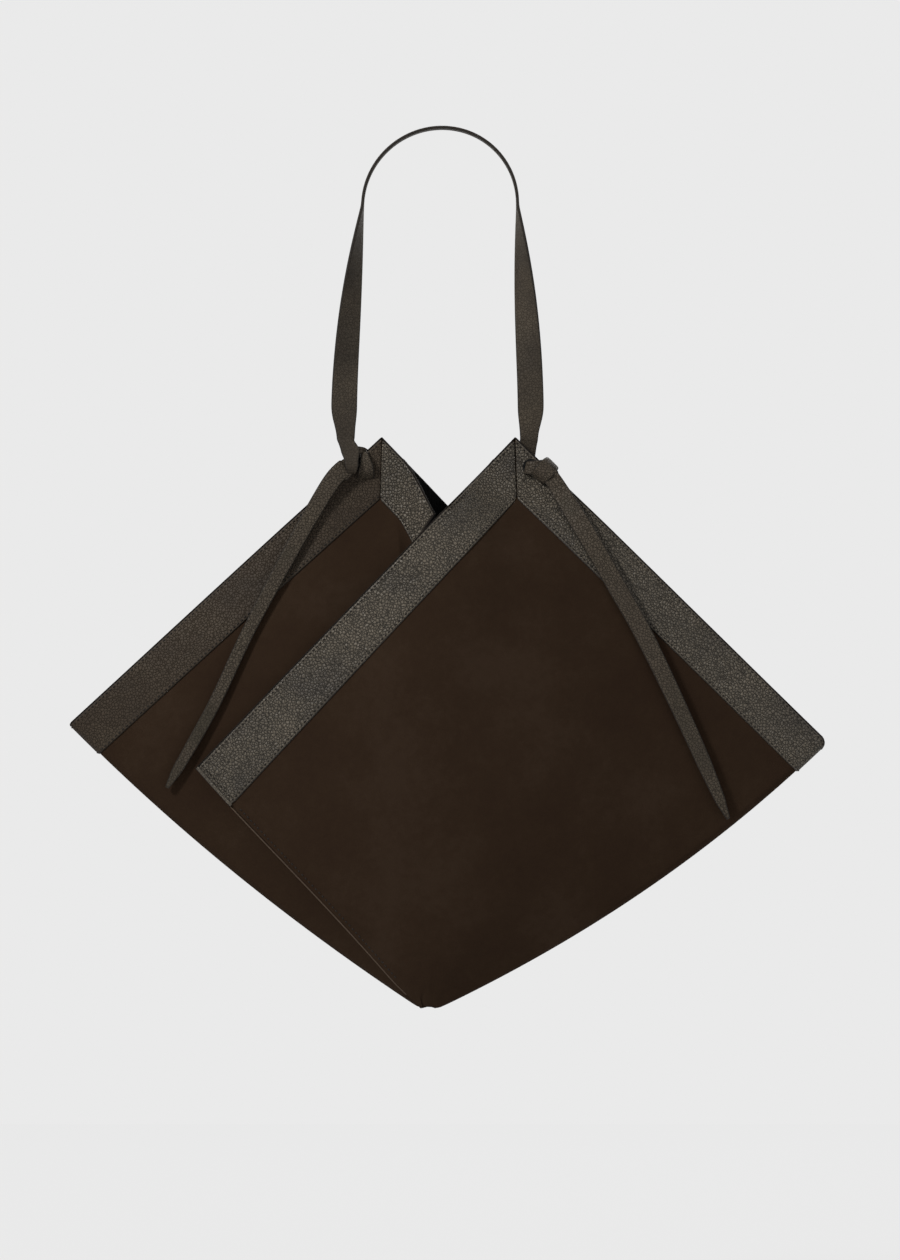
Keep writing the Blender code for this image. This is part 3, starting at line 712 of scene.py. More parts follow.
        own_run = unit(form.seam_end(-self.sign) - self.peak)
        roll_x = form.axis_x + self.sign * form.roll_start_reach
        rim_run = own_run * (roll_x - self.peak[0]) / own_run[0]
        for k in range(1, self.mouth_columns + 1):
            share = k / self.mouth_columns
            inner = self.mitre + own_run * form.roll_inner_run * share
            tucked = self.tuck_column(inner, self.peak + rim_run * share)
            columns.append(tucked)
        other_end, other_inner = self.seam_corner(self.sign)
        returned = []
        for share in reversed(to_roll):
            rim = between(form.peak(-self.sign), other_end, 1 - share)
            inner = between(form.mitre(-self.sign), other_inner, 1 - share)
            returned.append(self.return_column(inner, rim))
        columns.extend(self.roll(tucked, returned[0]))
        columns.extend(returned)
        self.marks["end"] = len(columns) - 1
        return np.array(columns)

    def outward_normals(self) -> np.ndarray:
        """Direction away from the lining at each point of the grid."""
        along = np.gradient(self.columns, axis=0)
        up = np.gradient(self.columns, axis=1)
        normals = np.cross(along, up)
        normals /= np.linalg.norm(normals, axis=2, keepdims=True)
        middle = len(self.columns[0]) // 2
        seen = normals[self.marks["peak"], middle, 1] * self.panel_side
        return normals * (1 if seen > 0 else -1)

    def strip_range(self, strip: Strip) -> slice:
        """The columns of a strip of the border."""
        start, stop = {
            Strip.PANEL: ("seam", "peak"),
            Strip.CORNER: ("peak", "tuck_peak"),
            Strip.TUCK: ("tuck_peak", "end"),
        }[strip]
        return slice(self.marks[start], self.marks[stop] + 1)


class Shader:
    """The node tree of a material or a world in the making."""

    def __init__(self, owner: bpy.types.Material | bpy.types.World) -> None:
        """Opens the owner's tree."""
        owner.use_nodes = True
        self.owner = owner
        self.tree = owner.node_tree
        self.surface = self.tree.nodes.get("Principled BSDF")

    def add(self, kind: str, settings: dict | None = None, **links: object) -> bpy.types.Node:
        """Adds a node with its settings and links.

        Args:
            kind: the node's type, without the word ShaderNode.
            settings: properties of the node, by name.
            links: an input's name or number, with underscores for spaces, and its value or the
                socket that feeds it.

        Returns:
            The node.
        """
        node = self.tree.nodes.new(f"ShaderNode{kind}")
        for key, value in (settings or {}).items():
            setattr(node, key, value)
        for key, value in links.items():
            place = int(key[1:]) if key[0] == "i" and key[1:].isdigit() else key.replace("_", " ")
            self.feed(node.inputs[place], value)
        return node

    def feed(self, socket: Socket, value: object) -> None:
        """Links a socket to its source, or sets its value."""
        if isinstance(value, Socket):
            self.tree.links.new(value, socket)
        else:
            socket.default_value = value

    def cover(self, **values: object) -> None:
        """Sets or feeds inputs of the surface, with underscores for spaces."""
        for name, value in values.items():
            self.feed(self.surface.inputs[name.replace("_", " ")], value)

    def object_place(self) -> Socket:
        """Coordinates of the piece itself, in metres."""
        return self.add("TexCoord").outputs["Object"]

    def noise(self, place: Socket, scale: float, detail: float, roughness: float = 0.5) -> Socket:
        """A soft noise over coordinates, its scale per metre."""
        values = {"Scale": scale, "Detail": detail, "Roughness": roughness}
        return self.add("TexNoise", Vector=place, **values).outputs["Fac"]

    def maths(self, operation: str, *values: object) -> Socket:
        """A sum or other operation on its values."""
        links = {f"i{k}": value for k, value in enumerate(values)}
        return self.add("Math", {"operation": operation}, **links).outputs["Value"]

    def mix(self, share: object, first: object, second: object, blend: str = "MIX") -> Socket:
        """A colour mixed with a second one, or multiplied by it, to a share."""
        settings = {"data_type": "RGBA", "blend_type": blend}
        return self.add("Mix", settings, Factor=share, i6=first, i7=second).outputs[2]

    def span(self, value: Socket, source: tuple, target: tuple) -> Socket:
        """A value moved from one range to another and held within it."""
        links = dict(zip(("From_Min", "From_Max", "To_Min", "To_Max"), source + target))
        return self.add("MapRange", Value=value, **links).outputs["Result"]

    def ramp(self, factor: Socket, *stops: tuple[float, str | float]) -> Socket:
        """A colour ramp over a factor.

        Args:
            factor: what runs along the ramp.
            stops: for each stop its place, and its hex colour or level of grey.

        Returns:
            The colour.
        """
        node = self.add("ValToRGB", Fac=factor)
        elements = node.color_ramp.elements
        while len(elements) < len(stops):
            elements.new(0.5)
        for element, (place, tone) in zip(elements, stops):
            element.position = place
            element.color = linear(tone) if isinstance(tone, str) else (tone, tone, tone, 1)
        return node.outputs["Color"]

    def bump(
        self, height: Socket, millimetres: float, strength: float = 1.0, below: Socket | None = None
    ) -> Socket:
        """Relief of a height, over another relief if one lies below."""
        node = self.add("Bump", Height=height, Distance=millimetres * MM, Strength=strength)
        if below is not None:
            self.feed(node.inputs["Normal"], below)
        return node.outputs["Normal"]

    def shown_rays(self) -> Socket:
        """1 for the rays of camera, gloss and glass, and 0 for those that only carry light."""
        rays = self.add("LightPath").outputs
        mirrored = self.maths("MAXIMUM", rays["Is Glossy Ray"], rays["Is Transmission Ray"])
        return self.maths("MAXIMUM", rays["Is Camera Ray"], mirrored)


@dataclass(frozen=True)
class MilledCalf:
    """Chrome tanned calf, milled in a drum until its grain stands up in soft pebbles.

    The borders show the full grain and the strap, which is drawn tight, a flatter one. Sizes are
    in millimetres: pebble, relief, edge_width and pressed, the width that stitching flattens.
    """

    name: str = "milled_calf"
    hide: str = "#4F483D"
    crease: str = "#3C362E"
    worn: str = "#5C5448"
    edge: str = "#1B1713"
    pebble: float = 2.3
    relief: float = 3.0
    contrast: float = 0.4
    edge_width: float = 0.5
    pressed: float = 4.2
    roughness: float = 0.5
    crease_roughness: float = 0.25
    specular: float = 0.38
    refraction: float = 1.45
    pebble_spread: float = 0.9

    def make(self) -> bpy.types.Material:
        """Builds the material: pebbles between creases with painted shade, slow changes of tone,
        burnished edges with a painted shadow line.
        """
        shader = Shader(bpy.data.materials.new(self.name))
        place = shader.object_place()
        distance = shader.add("Attribute", {"attribute_name": "edge_mm"}).outputs["Fac"]
        pebble, tint = self.pebbles(shader, place, distance)
        slow = shader.noise(place, scale=26.0, detail=3.0)
        tone = shader.ramp(slow, (0.3, self.crease), (0.48, self.hide), (0.72, self.worn))
        mottled = shader.mix(1.0, tone, tint, "MULTIPLY")
        # Partly the grain's own colour and partly painted shade: the creases between the pebbles are
        # darkened in the colour.
        grain_and_crease_shade = shader.mix(self.contrast, mottled, pebble, "MULTIPLY")
        # Dark band along the edges: partly the burnished edge's own colour, partly a painted shadow
        # line where a strip stands off the surface below.
        edge_range = (self.edge_width * 0.5, self.edge_width * 1.4)
        burnish_and_edge_shade = shader.span(distance, edge_range, (0.85, 0.0))
        patches = shader.ramp(slow, (0.35, 0.5), (0.6, 1.0))
        fine = shader.noise(place, scale=1400.0, detail=2.0)
        fibre = shader.bump(fine, millimetres=0.05, strength=0.5)
        height = shader.maths("MULTIPLY", pebble, patches)
        dull_to_polished = (self.roughness + self.crease_roughness, self.roughness)
        shader.cover(
            Base_Color=shader.mix(burnish_and_edge_shade, grain_and_crease_shade, linear(self.edge)),
            Normal=shader.bump(height, self.relief, below=fibre),
            Roughness=shader.span(pebble, (0.0, 1.0), dull_to_polished),
            IOR=self.refraction,
            Specular_IOR_Level=self.specular,
        )
        return shader.owner

    def pebbles(self, shader: Shader, place: Socket, distance: Socket) -> tuple[Socket, Socket]:
        """Height of the pebbles over their creases, and a tint that differs from one to the next.

        Args:
            shader: the material in the making.
            place: coordinates of the piece.
            distance: millimetres to the nearer edge, along which the stitching presses them flat.

        Returns:
            The height and the tint.
        """
        warp = shader.add("TexNoise", Vector=place, Scale=170.0, Detail=2.0).outputs["Color"]
        wander = {"i0": warp, "i1": (2 * MM, 2 * MM, 2 * MM), "i2": place}
        shifted = shader.add("VectorMath", {"operation": "MULTIPLY_ADD"}, **wander)
        cell = {"Vector": shifted.outputs["Vector"], "Scale": 1 / (self.pebble * MM)}
        cell["Randomness"] = self.pebble_spread
        creases = shader.add("TexVoronoi", {"feature": "DISTANCE_TO_EDGE"}, **cell)
        domes = shader.ramp(
            creases.outputs["Distance"], (0.0, 0.02), (0.05, 0.4), (0.12, 0.86), (0.34, 1.0)
        )
        free = shader.span(distance, (self.pressed * 0.6, self.pressed), (0.25, 1.0))
        height = shader.mix(free, (0.9, 0.9, 0.9, 1), domes)
        single = shader.add("TexVoronoi", **cell).outputs["Color"]
        return height, shader.ramp(single, (0.1, 1 - 0.3 * self.contrast), (0.9, 1.0))


@dataclass(frozen=True)
class NappedSuede:
    """Split hide with a raised nap, which lies in soft patches where it has been brushed."""

    nap: str = "#291E15"
    brushed: str = "#2D2219"
    shade: str = "#261B13"
    sheen: str = "#6A5140"
    streak_part: float = 0.35
    fibre_part: float = 0.3

    def make(self) -> bpy.types.Material:
        """Builds the material: a fine fibre relief, brushed patches and a faint sheen."""
        shader = Shader(bpy.data.materials.new("napped_suede"))
        place = shader.object_place()
        patches = shader.noise(place, scale=14.0, detail=4.0, roughness=0.55)
        streaks = shader.noise(place, scale=160.0, detail=3.0, roughness=0.6)
        fibre = shader.noise(place, scale=1300.0, detail=3.0)
        mixed = shader.maths("MULTIPLY_ADD", streaks, self.streak_part, patches)
        napped = shader.maths("MULTIPLY_ADD", fibre, self.fibre_part, mixed)
        soft = shader.bump(streaks, millimetres=0.15, strength=0.35)
        shader.cover(
            Base_Color=shader.ramp(napped, (0.6, self.shade), (0.83, self.nap), (1.0, self.brushed)),
            Normal=shader.bump(fibre, millimetres=0.2, strength=0.7, below=soft),
            Roughness=0.95,
            Specular_IOR_Level=0.05,
            Sheen_Weight=0.04,
            Sheen_Roughness=0.45,
            Sheen_Tint=linear(self.sheen),
        )
        return shader.owner


@dataclass(frozen=True)
class TwillLining:
    """Black cotton twill with diagonal ribs, drawn coarse so that they show."""

    yarn: str = "#060606"
    ridge: str = "#101010"
    scale: float = 157.08

    def make(self) -> bpy.types.Material:
        """Builds the material: fine diagonal ribs on a matt black cloth."""
        shader = Shader(bpy.data.materials.new("twill_lining"))
        settings = {"wave_type": "BANDS", "bands_direction": "DIAGONAL"}
        values = {"Scale": self.scale, "Distortion": 0.6, "Detail": 1.0}
        wave = shader.add("TexWave", settings, Vector=shader.object_place(), **values)
        ribs = wave.outputs["Fac"]
        shader.cover(
            Base_Color=shader.ramp(ribs, (0.2, self.yarn), (0.9, self.ridge)),
            Normal=shader.bump(ribs, millimetres=0.15, strength=0.6),
            Roughness=0.9,
            Specular_IOR_Level=0.15,
        )
        return shader.owner


@dataclass(frozen=True)
class PlainFinish:
    """A small trim finish: one tone with a fine uneven relief, its grain in millimetres."""

    name: str
    tone: str
    light: str
    roughness: float
    grain: float = 0.5
    specular: float = 0.2

    def make(self) -> bpy.types.Material:
        """Builds the material from a fine noise."""
        shader = Shader(bpy.data.materials.new(self.name))
        noise = shader.noise(shader.object_place(), scale=1 / (self.grain * MM), detail=2.0)
        shader.cover(
            Base_Color=shader.ramp(noise, (0.35, self.tone), (0.7, self.light)),
            Normal=shader.bump(noise, millimetres=0.08, strength=0.5),
            Roughness=self.roughness,
            Specular_IOR_Level=self.specular,
        )
        return shader.owner


@dataclass(frozen=True)
class Finishes:
    """The finishes of the whole bag."""

    leather: bpy.types.Material
    dark: bpy.types.Material
    strap: bpy.types.Material
    handle: bpy.types.Material
    suede: bpy.types.Material
    lining: bpy.types.Material
    thread: bpy.types.Material
    edge: bpy.types.Material
    cut: bpy.types.Material


def make_finishes() -> Finishes:
    """Makes every finish of the bag."""
    drawn = {"edge_width": 0.8, "pressed": 0.1, "roughness": 0.58, "specular": 0.22}
    strap = MilledCalf("strap_calf", "#41392F", "#363026", "#463E33", relief=0.8, **drawn)
    handle = MilledCalf("handle_calf", "#383128", "#2E2820", "#453D32", relief=0.3, **drawn)
    # Painted shade: a darker copy of the calf, for the left half's corner strip, which lies in shade.
    shaded = {"relief": 0.6, "contrast": 0.45, "roughness": 0.6, "specular": 0.2}
    return Finishes(
        leather=MilledCalf().make(),
        dark=MilledCalf("shade_painted_milled_calf", "#352C22", "#2D251C", "#3E352A", **shaded).make(),
        strap=strap.make(),
        handle=handle.make(),
        suede=NappedSuede().make(),
        lining=TwillLining().make(),
        thread=PlainFinish("waxed_linen_thread", "#120E0B", "#1E1914", 0.6, 0.4).make(),
        edge=PlainFinish("edge_paint", "#15110E", "#1F1A16", 0.8, 1.2, 0.1).make(),
        cut=PlainFinish("cut_suede_edge", "#3D3228", "#4D4034", 0.9, 0.8).make(),
    )


def finish_piece(
    name: str,
    bm: bmesh.types.BMesh,
    material: bpy.types.Material,
    levels: int = 0,
    angle: float = 50,
) -> bpy.types.Object:
    """Turns a bmesh into a piece with outward faces, smooth shading and a material.

    Args:
        name: the piece's name.
        bm: its mesh, which is freed.
        material: its finish.
        levels: levels of subdivision surface.
        angle: faces that meet more sharply than this stay sharp, in degrees.

    Returns:
        The new object.
    """
    bmesh.ops.recalc_face_normals(bm, faces=bm.faces[:])
    if bm.calc_volume(signed=True) < 0:
        bmesh.ops.reverse_faces(bm, faces=bm.faces[:])
    mesh = bpy.data.meshes.new(name)
    bm.to_mesh(mesh)
    bm.free()
    mesh.shade_smooth()
    if not levels:
        mesh.set_sharp_from_angle(angle=math.radians(angle))
    mesh.materials.append(material)
    piece = bpy.data.objects.new(name, mesh)
    bpy.context.collection.objects.link(piece)
    if levels:
        modifier = piece.modifiers.new("smooth", "SUBSURF")
        modifier.levels = levels
        modifier.render_levels = levels
    log.info("%s: %d faces", name, len(mesh.polygons))
    return piece


def sheet_mesh(
    points: np.ndarray, outward: np.ndarray, outer: float, inner: float
) -> bmesh.types.BMesh:
    """A closed sheet between two offsets of a grid of points.

    Args:
        points: the grid, columns by rows by three.
        outward: directions at its points.
        outer: distance of the outer face along them.
        inner: distance of the inner face.

    Returns:
        The mesh, with the distance from each point to the strip's nearer long edge in the
        attribute "edge_mm".
    """
    columns, rows = points.shape[:2]
    widths = np.linalg.norm(points[:, -1] - points[:, 0], axis=1) / MM
    bm = bmesh.new()
    layer = bm.verts.layers.float.new("edge_mm")
    bmesh.ops.create_grid(bm, x_segments=columns - 1, y_segments=rows - 1, size=1)
    raised = bmesh.ops.extrude_face_region(bm, geom=bm.faces[:], use_keep_orig=True)
    upper = {item for item in raised["geom"] if isinstance(item, bmesh.types.BMVert)}
    for vert in bm.verts:
        column = round((vert.co.x + 1) / 2 * (columns - 1))
        row = round((vert.co.y + 1) / 2 * (rows - 1))
        vert[layer] = min(row, rows - 1 - row) / (rows - 1) * widths[column]
        offset = outer if vert in upper else inner
        vert.co = Vector(points[column, row] + outward[column, row] * offset)
    return bm


@dataclass(frozen=True)
class Station:
    """One cross-section of a strap."""

    centre: np.ndarray
    across: np.ndarray
    half_width: float
    half_thickness: float


def end_cap(first: Station, second: Station) -> list[Station]:
    """Two shrinking stations beyond the first of a strap, which close it in a soft round."""
    run = unit(first.centre - second.centre) * first.half_thickness
    return [
        Station(
            first.centre + run * reach,
            first.across,
            first.half_width - first.half_thickness * (1 - share),
            first.half_thickness * share,
        )
        for reach, share in ((0.7, 0.75), (1.0, 0.3))
    ]


def strap_mesh(stations: list[Station], boxy: float, sides: int = 20) -> bmesh.types.BMesh:
    """A strap with rounded edges through its stations, closed at both ends.

    Args:
        stations: its cross-sections in order.
        boxy: power of the section's roundness, 1 for an ellipse and less for a flat strap.
        sides: divisions round each of them.

    Returns:
        The mesh, with the distance from each point to the strap's nearer edge in the attribute
        "edge_mm".
    """
    start = reversed(end_cap(stations[0], stations[1]))
    stations = [*start, *stations, *end_cap(stations[-1], stations[-2])]
    along = np.gradient(np.array([station.centre for station in stations]), axis=0)
    last = len(stations) - 1
    bm = bmesh.new()
    layer = bm.verts.layers.float.new("edge_mm")
    bmesh.ops.create_grid(bm, x_segments=last, y_segments=sides, size=1)
    for vert in bm.verts:
        k = round((vert.co.x + 1) / 2 * last)
        turn = math.pi * (vert.co.y + 1)
        station = stations[k]
        run = unit(along[k])
        across = unit(station.across - run * np.dot(station.across, run))
        wide = math.copysign(abs(math.cos(turn)) ** boxy, math.cos(turn))
        thick = math.copysign(abs(math.sin(turn)) ** boxy, math.sin(turn))
        vert[layer] = (1 - abs(wide)) * station.half_width / MM
        aside = across * wide * station.half_width
        up = np.cross(run, across) * thick * station.half_thickness
        vert.co = Vector(station.centre + aside + up)
    bmesh.ops.remove_doubles(bm, verts=bm.verts, dist=0.01 * MM)
    bmesh.ops.holes_fill(bm, edges=[edge for edge in bm.edges if edge.is_boundary], sides=0)
    return bm


@dataclass
class StitchRow:
    """A row of saddle stitches along a line on the bag, sizes in millimetres."""

    pitch: float = 3.9
    length: float = 2.5
    width: float = 1.4
    proud: float = 0.35

    def build(
        self, name: str, lines: list[tuple[np.ndarray, np.ndarray]], material: bpy.types.Material
    ) -> bpy.types.Object:
        """Lays the stitches.

        Args:
            name: the piece's name.
            lines: for each row its points in metres and the outward directions at them.
            material: the thread.

        Returns:
            One piece with all of them.
        """
        bm = bmesh.new()
        reach = self.length / 2 * MM
        for points, normals in lines:
            run = run_along(points)
            count = int(run[-1] / (self.pitch * MM))
            for k in range(count):
                middle = (k + 0.5) / count * run[-1]
                start, end = (place_along(points, run, middle + by) for by in (-reach, reach))
                self.stitch(bm, start, end, unit(place_along(normals, run, middle)))
        return finish_piece(name, bm, material, 0, 180)

    def stitch(
        self, bm: bmesh.types.BMesh, start: np.ndarray, end: np.ndarray, normal: np.ndarray
    ) -> None:
        """Adds one stitch, a small spindle sunk at both ends."""
        x = unit(end - start)
        z = unit(normal - x * np.dot(normal, x))
        matrix = Matrix.Identity(4)
        half = self.width / 2 * MM
        sizes = (math.dist(start, end) / 2, half, half)
        for column, (axis, size) in enumerate(zip((x, np.cross(z, x), z), sizes)):
            for row in range(3):
                matrix[row][column] = axis[row] * size
        matrix.translation = Vector((start + end) / 2 + z * (self.proud * MM - half / 2))
        bmesh.ops.create_icosphere(bm, subdivisions=1, radius=1, matrix=matrix)


@dataclass
class SheetHalf:
    """One half of the bag's sheet: suede, lining, border strips, painted rim and stitches.

    Sizes are in millimetres.
    """

    form: BagForm
    side: Side
    finishes: Finishes
    suede: float = 1.2
    gap: float = 0.05
    lining: float = 0.5
    lining_start_row: int = 2
    seam_start_row: int = 4
    mitre_gap: float = 0.25
    glue: float = 0.02
    rim_half_width: float = 1.5
    rim_half_thickness: float = 0.55
    cut_half_width: float = 0.55
    cut_half_thickness: float = 0.7
    cut_sink: float = 0.5
    edge_sides: int = 10
    edge_boxy: float = 0.7
    hem_height: float = 0.7
    hem_insets: tuple = (0.2, 0.8, 1.4, 2.0, 2.6, 3.2)
    stitch_inset: float = 2.6
    seam_inset: float = 4.6
    end_inset: float = 5.9

    def __post_init__(self) -> None:
        """Lays the half's grid."""
        self.grid = HalfSheet(self.form, self.side)

    def build(self) -> list[bpy.types.Object]:
        """Makes every piece of the half and sets it on the bag."""
        pieces = [self.suede_piece(), self.lining_piece(), self.rim_piece()]
        pieces.extend(self.border_piece(strip) for strip in Strip)
        pieces.append(self.cut_edge_piece())
        pieces.append(self.turned_end_piece())
        pieces.append(self.stitch_piece())
        for piece in pieces:
            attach(piece, "bag")
        return pieces

    def node(self, part: str) -> str:
        """Name of this half's CAD node for a part."""
        return f"{self.side.label}_{part}"

    def suede_piece(self) -> bpy.types.Object:
        """The suede, napped side out."""
        bm = sheet_mesh(self.grid.columns, self.grid.normals, 0, -self.suede * MM)
        piece = finish_piece(self.node("suede"), bm, self.finishes.suede, 1)
        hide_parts(self.node("half_suede"))
        return piece

    def lining_piece(self) -> bpy.types.Object:
        """The black lining under the suede."""
        outer = -(self.suede + self.gap) * MM
        first = self.lining_start_row
        columns, normals = self.grid.columns[:, first:], self.grid.normals[:, first:]
        bm = sheet_mesh(columns, normals, outer, outer - self.lining * MM)
        piece = finish_piece(self.node("lining"), bm, self.finishes.lining)
        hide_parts(self.node("half_lining"))
        return piece

    def border_piece(self, strip: Strip) -> bpy.types.Object:
        """One leather strip along the rim, its mitred ends drawn in to a fine seam."""
        grid = self.grid
        place = (grid.strip_range(strip), slice(grid.body_rows, None))
        points = grid.columns[place].copy()
        for end, beside in ((0, 1), (-1, -2)):
            step = points[beside] - points[end]
            length = np.linalg.norm(step, axis=1, keepdims=True)
            points[end] += step / length * self.mitre_gap * MM
        bm = sheet_mesh(points, grid.normals[place], self.form.border, self.glue * MM)
        # Painted shade: the left half's corner strip takes the darker copy of the calf.
        in_shade = self.side is Side.LEFT and strip is Strip.CORNER
        leather = self.finishes.dark if in_shade else self.finishes.leather
        name = self.node(f"{strip.value}_border_leather")
        piece = finish_piece(name, bm, leather, 1)
        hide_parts(self.node(f"{strip.value}_border"))
        return piece

    def rim_piece(self) -> bpy.types.Object:
        """The painted edge that closes suede, lining and leather along the whole rim."""
        middle = (self.form.border - (self.suede + self.lining) * MM) / 2
        half_width, half_thickness = self.rim_half_width * MM, self.rim_half_thickness * MM
        stations = [
            Station(rim + normal * middle, normal, half_width, half_thickness)
            for rim, normal in zip(self.grid.columns[:, -1], self.grid.normals[:, -1])
        ]
        bm = strap_mesh(stations, self.edge_boxy, self.edge_sides)
        return finish_piece(self.node("painted_edge"), bm, self.finishes.edge)

    def cut_edge_piece(self) -> bpy.types.Object:
        """The pale raw edge of the suede along the seam, from the panel's free corner down."""
        rows = slice(self.lining_start_row, self.grid.body_rows + 1)
        edge, beside = self.grid.columns[:2, rows]
        half_width, half_thickness = self.cut_half_width * MM, self.cut_half_thickness * MM
        stations = [
            Station(place - normal * self.cut_sink * MM, unit(run), half_width, half_thickness)
            for place, run, normal in zip(edge, beside - edge, self.grid.normals[0, rows])
        ]
        bm = strap_mesh(stations, self.edge_boxy, self.edge_sides)
        return finish_piece(self.node("cut_edge"), bm, self.finishes.cut)

    def in_from_seam(self, row: int, inset: float, reach: int = 12) -> np.ndarray:
        """The point of a row at an inset from the seam, within a reach of columns."""
        along = self.grid.columns[:reach, row]
        return place_along(along, run_along(along), inset * MM)

    def line_in_from_seam(self, inset: float) -> tuple[np.ndarray, np.ndarray]:
        """A line on the suede at an inset from the seam."""
        rows = range(self.seam_start_row, self.grid.body_rows)
        points = np.array([self.in_from_seam(row, inset) for row in rows])
        return points, self.grid.normals[0, rows.start : rows.stop]

    def line_across_end(self, inset: float) -> tuple[np.ndarray, np.ndarray]:
        """A line across the panel border at an inset from its turned end."""
        rows = range(self.grid.body_rows + 1, len(self.grid.columns[0]) - 1)
        normals = self.grid.normals[0, rows.start : rows.stop]
        points = np.array([self.in_from_seam(row, inset) for row in rows])
        return points + normals * self.form.border, normals

    def turned_end_piece(self) -> bpy.types.Object:
        """The panel border's end, turned under and folded back over itself in a narrow hem."""
        rows = range(self.grid.body_rows, len(self.grid.columns[0]))
        insets = self.hem_insets
        points = np.array([[self.in_from_seam(row, inset) for inset in insets] for row in rows])
        normals = np.array([[self.grid.normals[0, row]] * len(insets) for row in rows])
        lift = self.form.border
        bm = sheet_mesh(points, normals, lift + self.hem_height * MM, lift)
        return finish_piece(self.node("turned_end"), bm, self.finishes.leather, 1)

    def line_on_border(self, share: float, strip: Strip) -> tuple[np.ndarray, np.ndarray]:
        """A line along a strip at a share of its width from the inner edge."""
        grid = self.grid
        columns = grid.columns[grid.strip_range(strip)]
        row = grid.body_rows + share * grid.border_rows
        low = min(int(row), grid.body_rows + grid.border_rows - 1)
        points = between(columns[:, low], columns[:, low + 1], row - low)
        normals = grid.normals[grid.strip_range(strip), low]
        return points + normals * self.form.border, normals

    def stitch_piece(self) -> bpy.types.Object:
        """Rows of stitches near both edges of every strip, along the seam and across its end."""
        share = self.stitch_inset * MM / self.form.border_width
        lines = [
            self.line_on_border(place, strip) for strip in Strip for place in (share, 1 - share)
        ]
        lines.append(self.line_in_from_seam(self.seam_inset))
        lines.append(self.line_across_end(self.end_inset))
        return StitchRow().build(self.node("border_stitches"), lines, self.finishes.thread)


@dataclass
class HandleStrap:
    """The handle: one strap that arches over the bag and turns to face front at the knots."""

    finishes: Finishes
    width: float = 0.021
    thickness: float = 0.003
    drawn_thickness: float = 0.0025
    arch_radius: float = 0.062
    cad_arch_steps: int = 17
    flare_reach: float = 0.0746
    flare_drop: float = 0.222
    flare_power: float = 1.5
    turn_power: float = 1.6
    end_drop: float = 0.247
    end_reach: float = 0.0733
    end_depth: float = 0.007
    end_width: float = 0.0145
    lean: float = 0.0036
    bend_reach: float = 0.005
    boxy: float = 0.32
    leg_steps: int = 40
    arch_steps: int = 48

    def end(self, sign: int) -> np.ndarray:
        """Where the strap meets a knot."""
        return np.array([sign * self.end_reach - self.lean, sign * self.end_depth, -self.end_drop])

    def lean_at(self, drop: float) -> float:
        """How far the handle leans toward the left at a drop below the crown."""
        return self.lean * (1 - (1 - held(drop / self.end_drop)) ** 2)

    @cached_property
    def top(self) -> float:
        """Drop of the arch's centre below the flat underside of the crown in the CAD."""
        half_step = math.pi / self.cad_arch_steps / 2
        return (self.arch_radius - self.thickness / 2) * math.cos(half_step)

    def leg(self, sign: int, drop: float) -> Station:
        """Cross-section of one leg at a drop below the crown."""
        flare = (min(drop, self.flare_drop) - self.top) / (self.flare_drop - self.top)
        growth = 1 - (1 - flare) ** self.flare_power
        gather = smoothstep((drop - self.flare_drop) / (self.end_drop - self.flare_drop))
        reach = between(self.arch_radius, self.flare_reach, growth)
        reach += (self.end_reach - self.flare_reach) * gather
        down = min((drop - self.top) / (self.end_drop - self.top), 1)
        swing_axis = unit(self.end(1) - self.end(-1))
        end_turn = math.pi / 2 + sign * math.asin(swing_axis[1])
        turn = end_turn * (1 - (1 - down) ** self.turn_power)
        x = sign * reach - self.lean_at(drop)
        centre = np.array([x, sign * self.end_depth * smoothstep(down), -drop])
        across = np.array([-sign * math.sin(turn), math.cos(turn), 0])
        half = between(self.width, self.end_width, gather) / 2
        return Station(centre, across, half, self.drawn_thickness / 2)

    def last_turn(self, side: Side) -> list[Station]:
        """Cross-sections of the strap below its bend, where it goes into a knot."""
        end = self.leg(side.value, self.end_drop)
        places = [(*from_pixel(x, y, depth), half * MM) for x, y, depth, half in HANDLE_ENDS[side]]
        path = smooth_path([(*end.centre, end.half_width), *places])
        return [Station(row[:3], end.across, row[3], end.half_thickness) for row in path[1:]]

    def stations(self) -> list[Station]:
        """Cross-sections from inside the left knot over the crown to inside the right one."""
        drops = np.linspace(self.end_drop, self.top, self.leg_steps, endpoint=False)
        made = list(reversed(self.last_turn(Side.LEFT)))
        made.extend(self.leg(-1, drop) for drop in drops)
        for k in range(self.arch_steps + 1):
            turn = math.pi * (1 - k / self.arch_steps)
            x, z = math.cos(turn) * self.arch_radius, math.sin(turn) * self.arch_radius - self.top
            centre = np.array([x - self.lean_at(-z), 0, z])
            made.append(
                Station(centre, np.array([0, 1, 0]), self.width / 2, self.drawn_thickness / 2)
            )
        made.extend(self.leg(1, drop) for drop in reversed(drops))
        return made + self.last_turn(Side.RIGHT)

    def build(self) -> bpy.types.Object:
        """Makes the strap."""
        bm = strap_mesh(self.stations(), self.boxy)
        piece = finish_piece("handle_leather", bm, self.finishes.handle, 1)
        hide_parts("handle_strap")
        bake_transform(piece)
        return piece


